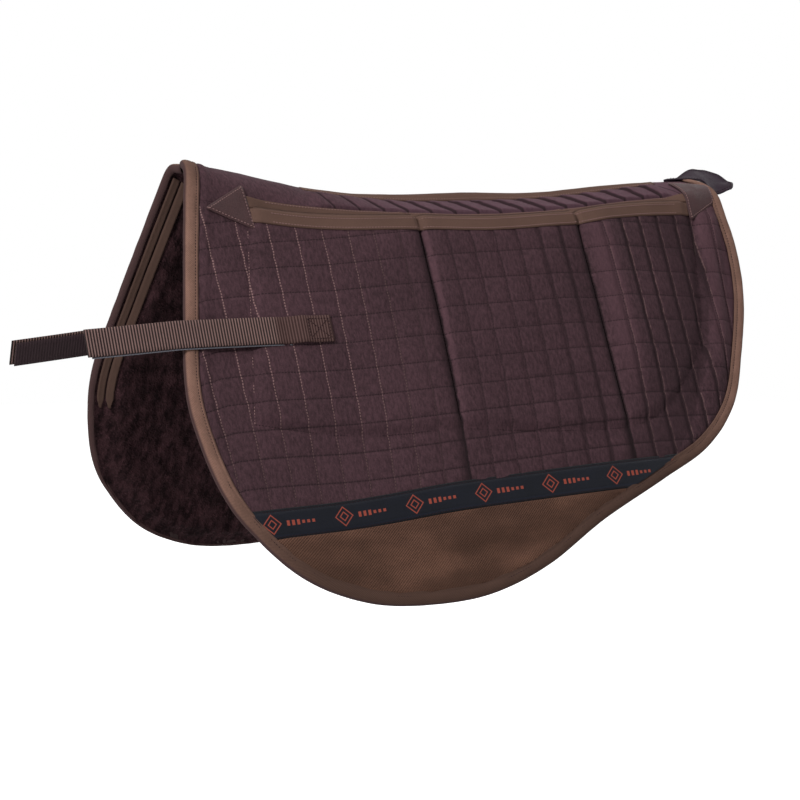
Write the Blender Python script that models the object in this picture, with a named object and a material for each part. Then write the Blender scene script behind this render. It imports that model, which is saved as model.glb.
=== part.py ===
"""Felt saddle pad: quilted cover with three shim pockets a side, felt core and fleece lining.

+X points to the rear of the pad, +Z up, and the near (left) side of the pad is -Y.
The origin is on the lining, under the spine at mid length, where the pad lies on the back.
Every cloth layer is cut to the same flat pattern. A pattern point is (x, s): x along the
spine and s the distance from the spine over the cover. drape() hangs it in space.
"""

import math

import bmesh
import bpy
from mathutils import Vector

MM = 0.001

# Overall sizes. The outline below is drawn for the first two and stretched to them.
PAD_LENGTH = 690 * MM
SIDE_DROP = 520 * MM
DRAWN_LENGTH = 690 * MM
DRAWN_DROP = 520 * MM

# Shape of the draped pad: the sides hang straight at this angle off the vertical
SIDE_ANGLE = math.radians(24)
CROWN_TURN = math.radians(25)
SHOULDER_RADIUS = 34 * MM

# Width of the gentle crown each side of the spine, and the height of the spine, along x
CROWN = [(-345, 16), (-200, 36), (-50, 54), (100, 60), (230, 50), (345, 40)]
RIDGE = [(-345, 48), (-200, 14), (-50, 0), (100, 0), (230, 9), (345, 16)]

# Cloth and felt thicknesses, from the outside in, and the clearance between layers
COVER_THICK = 2.5 * MM
SHIM_THICK = 2.4 * MM
SHIM_PLAY = 0.8 * MM
BACKING_THICK = 1.0 * MM
FELT_THICK = 8.0 * MM
FLEECE_THICK = 8.0 * MM
PLY_GAP = 0.3 * MM
TRIM_GAP = 0.8 * MM

# Trim sizes
TAPE_WIDTH = 11 * MM
TAPE_THICK = 1.0 * MM
SPINE_TAPE_WIDTH = 14 * MM
BINDING_WIDTH = 16 * MM
BINDING_INNER_WIDTH = 10 * MM
BINDING_THICK = 1.3 * MM
EDGE_ROOM = 3 * MM
BINDING_START = 0.35
SEWN_GAP = 1.2 * MM
RIBBON_WIDTH = 33 * MM
RIBBON_THICK = 1.0 * MM
WEAR_PATCH_THICK = 1.2 * MM
LEATHER_THICK = 1.4 * MM
OPENING_TAPE_WIDTH = 7 * MM
OPENING_TAPE_PITCH = 9 * MM

# The spine strip, and the room that the sides need to close towards each other
SPINE_HALF_WIDTH = 20 * MM
SPLIT_GAP = 4 * MM
SPINE_FLEECE_HALF_WIDTH = 28 * MM
SPINE_BAND_HALF_WIDTH = 18 * MM

# Shims stand this far inside the seams of their pocket
SEAM_ROLL = 13 * MM
SHIM_MARGIN = 17 * MM
SHIM_TOP_DEPTH = 16 * MM

# Straps
STRAP_WIDTH = 31 * MM
STRAP_THICK = 1.7 * MM
STRAP_TAPE_THICK = 1.4 * MM
STRAP_TAPE_WIDTH = 26 * MM
STRAP_SEWN_LENGTH = 54 * MM
STRAP_LENGTH = 128 * MM
STRAP_TIP_LENGTH = 101 * MM
STRAP_TIP_DROOP = math.radians(3)
STRAP_HINGE_GAP = 3.5 * MM
STRAP_FOLD_GAP = 7.5 * MM
STRAP_TAPE_SHIFT = 1.5 * MM
STRAP_TIP_HEM = 4 * MM
# The far strap hangs lower and slopes down more than the near one
STRAP_STARTS = {-1: (-254, 209), 1: (-254, 227)}
STRAP_SLOPES = {-1: math.radians(8.8), 1: math.radians(11.6)}

# Rear tab
TAB_WIDTH = 46 * MM
TAB_FLAP_LENGTH = 40 * MM
TAB_BASE_LENGTH = 26 * MM
TAB_BASE_INSET = 1 * MM
TAB_HINGE_GAP = 3 * MM
TAB_TAPER = 0.35

# Outline of one side on the flat pattern, in mm: front edge, bottom edge, rear edge
OUTLINE = [
    (-333, 0), (-348, 70), (-372, 187), (-388, 275), (-386, 335), (-372, 398), (-345, 443),
    (-295, 488), (-228, 512), (-152, 520), (-77, 514), (1, 488), (84, 447), (180, 409),
    (252, 374), (306, 324), (340, 255), (362, 192), (370, 130), (366, 75), (357, 0),
]
FRONT_MOUTH, FRONT_SEAM, FRONT_CORNER, BOTTOM_FRONT = 1, 4, 6, 7
BOTTOM_REAR, REAR_CORNER, REAR_SEAM, REAR_MOUTH = 14, 15, 16, 19

# Seams that bound the three pockets, in mm
MOUTH = [(-276, 70), (-90, 73), (25, 80), (130, 77.5), (228, 71.5), (309, 69)]
POCKET_BOTTOM = [(-318, 322), (-198, 325), (-76, 322), (42, 334), (143, 338), (205, 320), (262, 268)]
POCKET_FRONT = [(-276, 70), (-297, 196), (-318, 322)]
POCKET_REAR = [(309, 69), (303, 148), (286, 222), (262, 268)]
DIVIDERS = [[(-83, 73), (-72, 161), (-78, 322)], [(129, 77.5), (141, 207), (143, 338)]]

# The mouth's tapes: half the slit between them, and the part of the mouth that they bind
MOUTH_LIP = 1.6 * MM
MOUTH_TAPE_SPAN = (0.035, 0.965)
MOUTH_TAPE_STEPS = 16

# The opening tapes start at this row of the grid
OPENING_START_ROW = 2

# How far above the mouth the upper cover starts and ends its rise, as shares of the way to the top
STEP_START = 0.25
STEP_END = 0.875

# The ribbon's top edge in mm. It, its lower edge and the patch below reach as far as the binding.
RIBBON_TOP = [(-337, 420), (-180, 394), (-40, 384), (214, 380)]
RIBBON_STEPS = 12
TRIM_STEPS = 200

# Where along the outline the wear patch's lower edge runs, counted in the outline's points
WEAR_PATCH_SPAN = (6.6, 11.9)

SHIM_STEPS = 4

# Corner patches, in mm. The rear one reaches the binding between two depths.
FRONT_PATCH = [(-326, 73), (-281, 40), (-279, 92)]
REAR_PATCH_FRONT = [(316, 24), (314, 90)]
REAR_PATCH_END = (46, 68)
PATCH_TIP_HALF_WIDTH = 2 * MM

# Where the plain caps end on the spine, in mm
WITHERS_END = -190
LOIN_START = 300
SPINE_TAPE_INSET = 4 * MM

# Grid of every full layer: shares of each block of the pattern
FRONT_COLUMNS = [0.5, 1.0]
REAR_COLUMNS = [0.5, 1.0]
POCKET_COLUMN_COUNT = 11
TOP_ROWS = [0.0, 0.32, 0.58, 0.8, 1.0]
BOTTOM_ROWS = [0.33, 0.66, 1.0]
POCKET_ROW_COUNT = 3

# Depth of each face below the top of the filled pockets
COVER_OUT = 0.0
COVER_IN = -COVER_THICK
SHIM_OUT = COVER_IN - SHIM_PLAY
SHIM_IN = SHIM_OUT - SHIM_THICK
BACKING_OUT = SHIM_IN - SHIM_PLAY
BACKING_IN = BACKING_OUT - BACKING_THICK
FELT_OUT = BACKING_IN - PLY_GAP
FELT_IN = FELT_OUT - FELT_THICK
FLEECE_OUT = FELT_IN - PLY_GAP
FLEECE_IN = FLEECE_OUT - FLEECE_THICK
FLAT_OUT = BACKING_OUT + PLY_GAP + COVER_THICK
STEP_OUT = SHIM_IN - SHIM_PLAY - TAPE_THICK - TRIM_GAP
TRIM_IN = FLAT_OUT + TRIM_GAP
TOP_HEIGHT = -FLEECE_IN
SPLIT = SPINE_HALF_WIDTH + SPLIT_GAP
LAYER_INSET = BINDING_THICK + PLY_GAP

# Colours as Principled base colours, and roughness
COLOURS = {
    "quilt": ((0.055, 0.028, 0.032), 0.85),
    "felt": ((0.20, 0.17, 0.15), 0.95),
    "fleece": ((0.022, 0.012, 0.012), 0.95),
    "backing": ((0.03, 0.02, 0.02), 0.9),
    "binding": ((0.16, 0.09, 0.07), 0.8),
    "tape": ((0.11, 0.06, 0.05), 0.8),
    "ribbon": ((0.012, 0.014, 0.02), 0.6),
    "nylon": ((0.12, 0.065, 0.045), 0.75),
    "leather": ((0.07, 0.035, 0.03), 0.5),
    "webbing": ((0.13, 0.08, 0.07), 0.75),
    "grip_tape": ((0.02, 0.014, 0.015), 0.9),
    "shim": ((0.30, 0.27, 0.24), 0.95),
}


def clear_scene():
    for obj in list(bpy.data.objects):
        bpy.data.objects.remove(obj, do_unlink=True)


def material(name):
    colour, rough = COLOURS[name]
    mat = bpy.data.materials.get(name)
    if mat is None:
        mat = bpy.data.materials.new(name)
        mat.use_nodes = True
        shader = mat.node_tree.nodes["Principled BSDF"]
        shader.inputs["Base Color"].default_value = (*colour, 1.0)
        shader.inputs["Roughness"].default_value = rough
        shader.inputs["Metallic"].default_value = 0.0
    return mat


# Curves on the flat pattern


def pattern(point):
    """A drawn point in mm as a pattern point in metres, stretched to the pad's size."""
    x, s = point
    return Vector((x * MM * PAD_LENGTH / DRAWN_LENGTH, s * MM * SIDE_DROP / DRAWN_DROP))


def pattern_all(points):
    return [pattern(p) for p in points]


def smooth_at(points, t):
    """The point at t on a smooth curve through points, where t counts points from 0."""
    last = len(points) - 1
    i = min(max(int(t), 0), last - 1)
    f = t - i
    p1, p2 = points[i], points[i + 1]
    p0 = points[i - 1] if i > 0 else p1 * 2 - p2
    p3 = points[i + 2] if i + 2 <= last else p2 * 2 - p1
    m1, m2 = (p2 - p0) / 2, (p3 - p1) / 2
    return (
        p1 * (2 * f**3 - 3 * f**2 + 1)
        + m1 * (f**3 - 2 * f**2 + f)
        + p2 * (3 * f**2 - 2 * f**3)
        + m2 * (f**3 - f**2)
    )


def curve(points, start=0.0, end=None):
    """A function of 0 to 1 that runs along the smooth curve through points."""
    end = len(points) - 1 if end is None else end
    return lambda f: smooth_at(points, start + (end - start) * f)


def line(a, b):
    return lambda f: a.lerp(b, f)


def height_at(knots, x):
    """A smooth value over x from (x, value) knots in mm, kept level past the ends."""
    points = [Vector((k[0] * PAD_LENGTH / DRAWN_LENGTH, k[1])) * MM for k in knots]
    x = min(max(x, points[0].x), points[-1].x)
    i = max(j for j in range(len(points) - 1) if points[j].x <= x + 1e-12)
    lo, hi = 0.0, 1.0
    for _ in range(24):
        mid = (lo + hi) / 2
        if smooth_at(points, i + mid).x < x:
            lo = mid
        else:
            hi = mid
    return smooth_at(points, i + lo).y


def depth_on(points, x):
    """s of a curve drawn from front to rear, at x."""
    for a, b in zip(points, points[1:]):
        if x <= b.x:
            break
    return a.lerp(b, (x - a.x) / (b.x - a.x)).y


# The draped surface


def section(x, s):
    """(y, z) of the drape at s >= 0 from the spine, before its thickness."""
    crown = height_at(CROWN, x)
    turn = math.pi / 2 - SIDE_ANGLE - CROWN_TURN
    radius = crown / CROWN_TURN
    a = min(s, crown) / radius
    y, z = radius * math.sin(a), -radius * (1 - math.cos(a))
    a = min(max(s - crown, 0), SHOULDER_RADIUS * turn) / SHOULDER_RADIUS
    y += SHOULDER_RADIUS * (math.sin(CROWN_TURN + a) - math.sin(CROWN_TURN))
    z -= SHOULDER_RADIUS * (math.cos(CROWN_TURN) - math.cos(CROWN_TURN + a))
    rest = max(s - crown - SHOULDER_RADIUS * turn, 0)
    return y + rest * math.sin(SIDE_ANGLE), z - rest * math.cos(SIDE_ANGLE)


def surface(x, s):
    """The top of the filled pockets at pattern point (x, s). A negative s is the near side."""
    y, z = section(x, abs(s))
    return Vector((x, math.copysign(y, s), TOP_HEIGHT + height_at(RIDGE, x) + z))


def normal(x, s):
    step = 0.2 * MM
    along = surface(x + step, s) - surface(x - step, s)
    across = surface(x, s + step) - surface(x, s - step)
    return along.cross(across).normalized()


def drape(x, s, depth):
    return surface(x, s) + normal(x, s) * depth


# The grid that every full layer shares


def coons(top, bottom, front, rear, u, v):
    """The pattern point at (u, v) inside four curves: u to the rear, v down."""
    corner = (
        top(0) * (1 - u) * (1 - v) + top(1) * u * (1 - v) + bottom(0) * (1 - u) * v + bottom(1) * u * v
    )
    return top(u) * (1 - v) + bottom(u) * v + front(v) * (1 - u) + rear(v) * u - corner


def inset_outline(distance):
    """The outline's points moved inwards on the pattern, with the ends kept on the spine."""
    points = pattern_all(OUTLINE)
    moved = []
    for i, point in enumerate(points):
        ahead = smooth_at(points, min(i + 0.05, len(points) - 1))
        behind = smooth_at(points, max(i - 0.05, 0))
        way = (ahead - behind).normalized()
        moved.append(point + Vector((way.y, -way.x)) * distance)
    moved[0].y = moved[-1].y = 0.0
    return moved


def index_at_depth(points, first, last, s):
    """Where on the outline between two of its points the depth is s."""
    lo, hi = float(first), float(last)
    for _ in range(40):
        mid = (lo + hi) / 2
        if (smooth_at(points, mid).y < s) == (points[first].y < points[last].y):
            lo = mid
        else:
            hi = mid
    return lo


def outline_stops(points):
    """Where the sides start on the front edge and on the rear edge."""
    end = len(points) - 1
    return index_at_depth(points, 0, 1, SPLIT), index_at_depth(points, end - 1, end, SPLIT)


def pocket_shares(count, roll):
    inner = [roll + (1 - 2 * roll) * i / count for i in range(count + 1)]
    return [*inner, 1.0]


def panel_grid():
    """Rows of pattern points, from the spine down, and which rows and columns bound the pockets."""
    edge = inset_outline(LAYER_INSET)
    front_stop, rear_stop = outline_stops(edge)
    mouth, bottom = pattern_all(MOUTH), pattern_all(POCKET_BOTTOM)
    front, rear = pattern_all(POCKET_FRONT), pattern_all(POCKET_REAR)
    top_front = Vector((mouth[0].x, SPLIT))
    top_rear = Vector((mouth[-1].x, SPLIT))
    across = [
        [
            line(smooth_at(edge, front_stop), top_front),
            line(top_front, top_rear),
            line(top_rear, smooth_at(edge, rear_stop)),
        ],
        [
            line(edge[FRONT_MOUTH], mouth[0]),
            curve(mouth),
            line(mouth[-1], edge[REAR_MOUTH]),
        ],
        [
            line(edge[FRONT_SEAM], bottom[0]),
            curve(bottom),
            line(bottom[-1], edge[REAR_SEAM]),
        ],
        [
            curve(edge, FRONT_CORNER, BOTTOM_FRONT),
            curve(edge, BOTTOM_FRONT, BOTTOM_REAR),
            curve(edge, BOTTOM_REAR, REAR_CORNER),
        ],
    ]
    down = [
        [
            curve(edge, front_stop, FRONT_MOUTH),
            curve(edge, FRONT_MOUTH, FRONT_SEAM),
            curve(edge, FRONT_SEAM, FRONT_CORNER),
        ],
        [line(top_front, mouth[0]), curve(front), line(bottom[0], edge[BOTTOM_FRONT])],
        [line(top_rear, mouth[-1]), curve(rear), line(bottom[-1], edge[BOTTOM_REAR])],
        [
            curve(edge, rear_stop, REAR_MOUTH),
            curve(edge, REAR_MOUTH, REAR_SEAM),
            curve(edge, REAR_SEAM, REAR_CORNER),
        ],
    ]
    width = (mouth[-1] - mouth[0]).length
    drop = (front[-1] - front[0]).length
    columns = [
        [0.0, *FRONT_COLUMNS],
        pocket_shares(POCKET_COLUMN_COUNT, SEAM_ROLL / width),
        REAR_COLUMNS,
    ]
    rows = [TOP_ROWS, pocket_shares(POCKET_ROW_COUNT, SEAM_ROLL / drop), BOTTOM_ROWS]
    grid = []
    for j, shares in enumerate(rows):
        for v in shares:
            row = []
            for i, steps in enumerate(columns):
                for u in steps:
                    row.append(coons(across[j][i], across[j + 1][i], down[i][j], down[i + 1][j], u, v))
            grid.append(row)
    marks = {
        "mouth": len(TOP_ROWS) - 1,
        "bottom": len(TOP_ROWS) + len(rows[1]) - 1,
        "front": len(columns[0]) - 1,
        "rear": len(columns[0]) + len(columns[1]) - 1,
    }
    return grid, marks


# Building solids


def finish(name, bm, colour):
    bmesh.ops.recalc_face_normals(bm, faces=bm.faces)
    mesh = bpy.data.meshes.new(name)
    bm.to_mesh(mesh)
    bm.free()
    obj = bpy.data.objects.new(name, mesh)
    bpy.context.scene.collection.objects.link(obj)
    mesh.materials.append(material(colour))
    mesh.shade_smooth()
    mesh.set_sharp_from_angle(angle=math.radians(40))
    return obj


def slab(name, outer, inner, colour):
    """A solid between two equal grids of points in space: rows of points, outside and inside."""
    rows, columns = len(outer), len(outer[0])
    bm = bmesh.new()
    bmesh.ops.create_grid(bm, x_segments=columns - 1, y_segments=rows - 1, size=1)
    order = sorted(bm.verts, key=lambda v: (round(v.co.y, 6), round(v.co.x, 6)))
    sheet = list(bm.faces)
    for k, vert in enumerate(order):
        vert.co = outer[k // columns][k % columns]
    made = bmesh.ops.extrude_face_region(bm, geom=sheet, use_keep_orig=True)
    copies = [v for v in made["geom"] if isinstance(v, bmesh.types.BMVert)]
    place = {tuple(v.co): k for k, v in enumerate(order)}
    for vert in copies:
        k = place[tuple(vert.co)]
        vert.co = inner[k // columns][k % columns]
    return finish(name, bm, colour)


def draped_face(grid, side, depth):
    """Points in space of a pattern grid. depth is a value, or a function of row and column."""
    rows = []
    for j, row in enumerate(grid):
        depths = [depth(j, i) if callable(depth) else depth for i in range(len(row))]
        rows.append([drape(p.x, side * p.y, d) for p, d in zip(row, depths)])
    return rows


def draped_slab(name, grid, side, outer, inner, colour):
    """A draped cloth between two depths."""
    return slab(name, draped_face(grid, side, outer), draped_face(grid, side, inner), colour)


def band_grid(upper, lower, count):
    """Two rows of pattern points along two curves."""
    shares = [i / count for i in range(count + 1)]
    return [[upper(f) for f in shares], [lower(f) for f in shares]]


def filled_grid(upper, lower, count, rows):
    first, last = band_grid(upper, lower, count)
    return [[a.lerp(b, k / rows) for a, b in zip(first, last)] for k in range(rows + 1)]


def shifted(run, distance):
    """A curve moved down the pattern by a distance."""
    return lambda f: run(f) + Vector((0, distance))


def part_of(run, start, end):
    """The part of a curve between two shares of it."""
    return lambda f: run(start + (end - start) * f)


def straight_piece(name, start, way, across, out, length, width, low, high, colour):
    """A flat strip from start along way, with its faces at heights low and high along out."""
    half = across * (width / 2)
    edges = [[start - half, start + way * length - half], [start + half, start + way * length + half]]
    faces = [[[p + out * h for p in row] for row in edges] for h in (high, low)]
    return slab(name, faces[0], faces[1], colour)


def swept(name, stations, profile, side, colour):
    """A closed profile of (inset, depth) points carried along (point, inward) stations."""
    bm = bmesh.new()
    rings = []
    for point, inward in stations:
        ring = []
        for inset, depth in profile:
            p = point + inward * inset
            ring.append(bm.verts.new(drape(p.x, side * p.y, depth)))
        rings.append(ring)
    for ring in (rings[0], rings[-1]):
        bm.faces.new(ring)
    for a, b in zip(rings, rings[1:]):
        for k in range(len(a)):
            n = (k + 1) % len(a)
            bm.faces.new((a[k], a[n], b[n], b[k]))
    return finish(name, bm, colour)


# Moving bodies hang from an empty on their joint's axis


def pivot(name, place, parent=None, parent_place=Vector()):
    empty = bpy.data.objects.new(name, None)
    bpy.context.scene.collection.objects.link(empty)
    empty.parent = parent
    empty.location = place - parent_place
    return empty


def hang(parent, at, *objects):
    for obj in objects:
        obj.parent = parent
        obj.location = -at


# Cloth layers of one side


def cover_depth(marks, thick):
    """Depth of the quilted cover: raised over the pockets, flat round them, sunk above the mouth."""

    def at(j, i):
        over_pocket = marks["front"] < i < marks["rear"]
        if not over_pocket:
            return FLAT_OUT - thick
        if j < marks["mouth"]:
            rise = (1 - j / marks["mouth"] - STEP_START) / (STEP_END - STEP_START)
            return STEP_OUT + (FLAT_OUT - STEP_OUT) * min(1, max(0, rise)) - thick
        if j < marks["bottom"]:
            return COVER_OUT - thick
        return FLAT_OUT - thick

    return at


def upper_depth(marks, thick):
    """Depth of the upper cover, which passes under the mouth's upper tape."""

    def at(j, i):
        if j == marks["mouth"] and marks["front"] < i < marks["rear"]:
            return STEP_OUT - thick
        return cover_depth(marks, thick)(j, i)

    return at


def felt_depth(marks):
    """The felt's outer face: under the backing, and under the upper cover above the mouth."""
    upper = upper_depth(marks, COVER_THICK + PLY_GAP)

    def at(j, i):
        if j <= marks["mouth"]:
            return min(upper(j, i), FELT_OUT)
        return FELT_OUT

    return at


def clipped_row(row, distance):
    """A row of points moved down the pattern, to leave room at the mouth."""
    return [p + Vector((0, distance)) for p in row]


def build_layers(side, label, grid, marks):
    mouth = marks["mouth"]
    above = [*grid[:mouth], clipped_row(grid[mouth], -PLY_GAP)]
    below = [clipped_row(grid[mouth], PLY_GAP), *grid[mouth + 1 :]]
    below_marks = {**marks, "mouth": 0, "bottom": marks["bottom"] - mouth}
    return [
        draped_slab(
            f"{label}_upper_cover",
            above,
            side,
            upper_depth(marks, 0),
            upper_depth(marks, COVER_THICK),
            "quilt",
        ),
        draped_slab(
            f"{label}_quilted_cover",
            below,
            side,
            cover_depth(below_marks, 0),
            cover_depth(below_marks, COVER_THICK),
            "quilt",
        ),
        draped_slab(f"{label}_pocket_backing", below, side, BACKING_OUT, BACKING_IN, "backing"),
        draped_slab(
            f"{label}_felt_core",
            grid[1:],
            side,
            lambda j, i: felt_depth(marks)(j + 1, i),
            FELT_IN,
            "felt",
        ),
        draped_slab(f"{label}_fleece_lining", grid[1:], side, FLEECE_OUT, FLEECE_IN, "fleece"),
    ]


def binding_profile():
    """The binding's section round the edge, as (inset from the edge, depth)."""
    out, into = TRIM_IN + BINDING_THICK, FLEECE_IN - TRIM_GAP - BINDING_THICK
    return [
        (BINDING_WIDTH, TRIM_IN),
        (BINDING_WIDTH, out),
        (0.0, out),
        (0.0, into),
        (BINDING_INNER_WIDTH, into),
        (BINDING_INNER_WIDTH, into + BINDING_THICK),
        (BINDING_THICK, into + BINDING_THICK),
        (BINDING_THICK, TRIM_IN),
    ]


def edge_stations(grid):
    """(point, inward) round one side's edge at the ends of the grid's rows and columns.

    The first and the last stand lower than the cloth's top row, so that a side can close
    without its binding touching the spine's.
    """
    inner = [row[0] for row in grid[:-1]] + list(grid[-1]) + [row[-1] for row in reversed(grid[:-1])]
    inner[0] = inner[0].lerp(inner[1], BINDING_START)
    inner[-1] = inner[-1].lerp(inner[-2], BINDING_START)
    stations = []
    for k, point in enumerate(inner):
        ahead = inner[min(k + 1, len(inner) - 1)]
        behind = inner[max(k - 1, 0)]
        way = ((ahead - point).normalized() + (point - behind).normalized()).normalized()
        if k in (0, len(inner) - 1):
            way = Vector((0, 1 if k == 0 else -1))
        inward = Vector((way.y, -way.x))
        stations.append((point - inward * LAYER_INSET, inward))
    return stations


def build_edge_trim(side, label, grid, marks):
    """The binding round the edge, and the two tapes of the opening that runs beside it in front."""
    stations = edge_stations(grid)
    objects = [swept(f"{label}_edge_binding", stations, binding_profile(), side, "binding")]
    rows = range(OPENING_START_ROW, marks["bottom"] - 1)
    for k, part in enumerate(("outer", "inner")):
        near = BINDING_INNER_WIDTH + TRIM_GAP + (k + 0.5) * OPENING_TAPE_PITCH
        runs = []
        for half in (-OPENING_TAPE_WIDTH / 2, OPENING_TAPE_WIDTH / 2):
            runs.append([stations[j][0] + stations[j][1] * (near + half) for j in rows])
        objects.append(
            draped_slab(
                f"{label}_opening_{part}_tape",
                [list(pair) for pair in zip(*runs)],
                side,
                FLEECE_IN - PLY_GAP,
                FLEECE_IN - PLY_GAP - TAPE_THICK,
                "tape",
            )
        )
    return objects


def build_mouth_tapes(side, label):
    mouth = part_of(curve(pattern_all(MOUTH)), *MOUTH_TAPE_SPAN)
    pieces = (("upper", STEP_OUT, -MOUTH_LIP - TAPE_WIDTH), ("lower", COVER_OUT, MOUTH_LIP))
    objects = []
    for part, cover, near in pieces:
        objects.append(
            draped_slab(
                f"{label}_pocket_{part}_tape",
                band_grid(shifted(mouth, near), shifted(mouth, near + TAPE_WIDTH), MOUTH_TAPE_STEPS),
                side,
                cover + TRIM_GAP + TAPE_THICK,
                cover + TRIM_GAP,
                "tape",
            )
        )
    return objects


def build_patches(side, label):
    """Leather over the two ends of the pocket mouth."""
    objects = []
    tip, top, low = pattern_all(FRONT_PATCH)
    blunt = Vector((0, PATCH_TIP_HALF_WIDTH))
    front = filled_grid(line(tip - blunt, top), line(tip + blunt, low), 3, 3)
    edge = inset_outline(BINDING_WIDTH + EDGE_ROOM)
    above, below = pattern_all(REAR_PATCH_FRONT)
    high, low = (
        smooth_at(edge, index_at_depth(edge, REAR_MOUTH - 1, len(edge) - 1, pattern((0, s)).y))
        for s in REAR_PATCH_END
    )
    rear = filled_grid(line(above, high), line(below, low), 2, 4)
    for part, grid in (("front", front), ("rear", rear)):
        objects.append(
            draped_slab(
                f"{label}_{part}_corner_patch",
                grid,
                side,
                TRIM_IN + TRIM_GAP + LEATHER_THICK,
                TRIM_IN + TRIM_GAP,
                "leather",
            )
        )
    return objects


def inside_binding(run):
    """The part of a curve that keeps clear of the binding."""
    outline = pattern_all(OUTLINE)
    edge = [smooth_at(outline, k / 16) for k in range(16 * (len(outline) - 1) + 1)]
    clear = [
        k / TRIM_STEPS
        for k in range(TRIM_STEPS + 1)
        if min((run(k / TRIM_STEPS) - p).length for p in edge) > BINDING_WIDTH + EDGE_ROOM
    ]
    return part_of(run, clear[0], clear[-1])


def build_ribbon(side, label):
    top = curve(pattern_all(RIBBON_TOP))
    low = shifted(top, RIBBON_WIDTH)
    return draped_slab(
        f"{label}_trim_ribbon",
        band_grid(inside_binding(top), inside_binding(low), RIBBON_STEPS),
        side,
        TRIM_IN + RIBBON_THICK,
        TRIM_IN,
        "ribbon",
    )


def build_wear_patch(side, label):
    ribbon = inside_binding(shifted(curve(pattern_all(RIBBON_TOP)), RIBBON_WIDTH))
    edge = curve(inset_outline(BINDING_WIDTH + EDGE_ROOM), *WEAR_PATCH_SPAN)
    return draped_slab(
        f"{label}_wear_patch",
        filled_grid(shifted(ribbon, SEWN_GAP), edge, RIBBON_STEPS, 3),
        side,
        TRIM_IN + WEAR_PATCH_THICK,
        TRIM_IN,
        "nylon",
    )


# Shims, each in its own pocket, on straight slides along the side


def shim_bounds():
    """Front and rear limits of the three pockets, as functions of 0 to 1 down the pattern."""
    front, rear = curve(pattern_all(POCKET_FRONT)), curve(pattern_all(POCKET_REAR))
    first, second = (curve(pattern_all(d)) for d in DIVIDERS)
    return [(front, first), (first, second), (second, rear)]


def build_shims(side, label):
    mouth, bottom = pattern_all(MOUTH), pattern_all(POCKET_BOTTOM)
    objects = []
    for name, (front, rear) in zip(("front", "middle", "rear"), shim_bounds()):
        x_front = max(front(0).x, front(1).x) + SHIM_MARGIN
        x_rear = min(rear(0).x, rear(1).x) - SHIM_MARGIN
        xs = [x_front + (x_rear - x_front) * k / SHIM_STEPS for k in range(SHIM_STEPS + 1)]
        tops = [Vector((x, depth_on(mouth, x) + SHIM_TOP_DEPTH)) for x in xs]
        floors = [Vector((x, depth_on(bottom, x) - SHIM_MARGIN)) for x in xs]
        grid = [[a.lerp(b, k / 2) for a, b in zip(tops, floors)] for k in range(3)]
        objects.append(draped_slab(f"{label}_{name}_shim", grid, side, SHIM_OUT, SHIM_IN, "shim"))
    return objects


# Straps


def strap_frame(side):
    """Start, way forward, way across and outward way of one strap, on the side's surface."""
    start = pattern(STRAP_STARTS[side])
    slope = STRAP_SLOPES[side]
    place = drape(start.x, side * start.y, 0.0)
    out = normal(start.x, side * start.y)
    step = 1 * MM
    forward = (surface(start.x - step, side * start.y) - surface(start.x, side * start.y)).normalized()
    forward = (forward - out * forward.dot(out)).normalized()
    across = out.cross(forward) * -side
    down = across if across.z < 0 else -across
    way = (forward * math.cos(slope) + down * math.sin(slope)).normalized()
    cross = (down * math.cos(slope) - forward * math.sin(slope)).normalized()
    return place, way, cross, out


def turned(way, cross, angle):
    """The two directions of a strip turned in its own plane."""
    along = way * math.cos(angle) + cross * math.sin(angle)
    return along.normalized(), (cross * math.cos(angle) - way * math.sin(angle)).normalized()


def build_strap(side, label, panel, panel_place):
    """Webbing with grip tape behind it: an end sewn to the side, a free part and a tip that folds."""
    place, way, cross, out = strap_frame(side)
    low = PLY_GAP + STRAP_TAPE_THICK + PLY_GAP
    high = low + STRAP_THICK
    tape = (STRAP_TAPE_WIDTH, PLY_GAP, low - PLY_GAP, "grip_tape")
    web = (STRAP_WIDTH, low, high, "webbing")
    sewn = straight_piece(
        f"{label}_strap_sewn_end",
        place,
        -way,
        cross,
        out,
        STRAP_SEWN_LENGTH,
        STRAP_WIDTH,
        2 * TRIM_GAP,
        high,
        "webbing",
    )
    start = place + way * STRAP_HINGE_GAP
    end = start + way * STRAP_LENGTH
    tip_start = end + way * STRAP_FOLD_GAP
    tip_way, tip_cross = turned(way, cross, STRAP_TIP_DROOP)
    hinge = place + way * (STRAP_HINGE_GAP / 2) + out * high
    fold = end + way * (STRAP_FOLD_GAP / 2) + out * (high + PLY_GAP)
    strap = pivot(f"{label}_strap_pivot", hinge, panel, panel_place)
    tip = pivot(f"{label}_strap_fold_pivot", fold, strap, hinge)
    tip_tape_length = STRAP_TIP_LENGTH - STRAP_TIP_HEM
    parts = (
        ("strap", start, way, cross, STRAP_LENGTH, STRAP_LENGTH, strap, hinge),
        ("strap_tip", tip_start, tip_way, tip_cross, STRAP_TIP_LENGTH, tip_tape_length, tip, fold),
    )
    for part, at, along, across, length, tape_length, parent, parent_place in parts:
        name = f"{label}_{part}"
        shift = across * STRAP_TAPE_SHIFT
        webbing = straight_piece(f"{name}_webbing", at, along, across, out, length, *web)
        grip = straight_piece(f"{name}_grip_tape", at + shift, along, across, out, tape_length, *tape)
        hang(parent, parent_place, webbing, grip)
    return sewn


# The spine, which both sides hang from


def spine_grid(span, half, columns, rows):
    """Pattern points on both sides of the spine, in rows from the near to the far side."""
    start, end = span
    grid = []
    for j in range(rows + 1):
        s = half * (2 * j / rows - 1)
        grid.append([Vector((start + (end - start) * i / columns, s)) for i in range(columns + 1)])
    return grid


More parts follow.
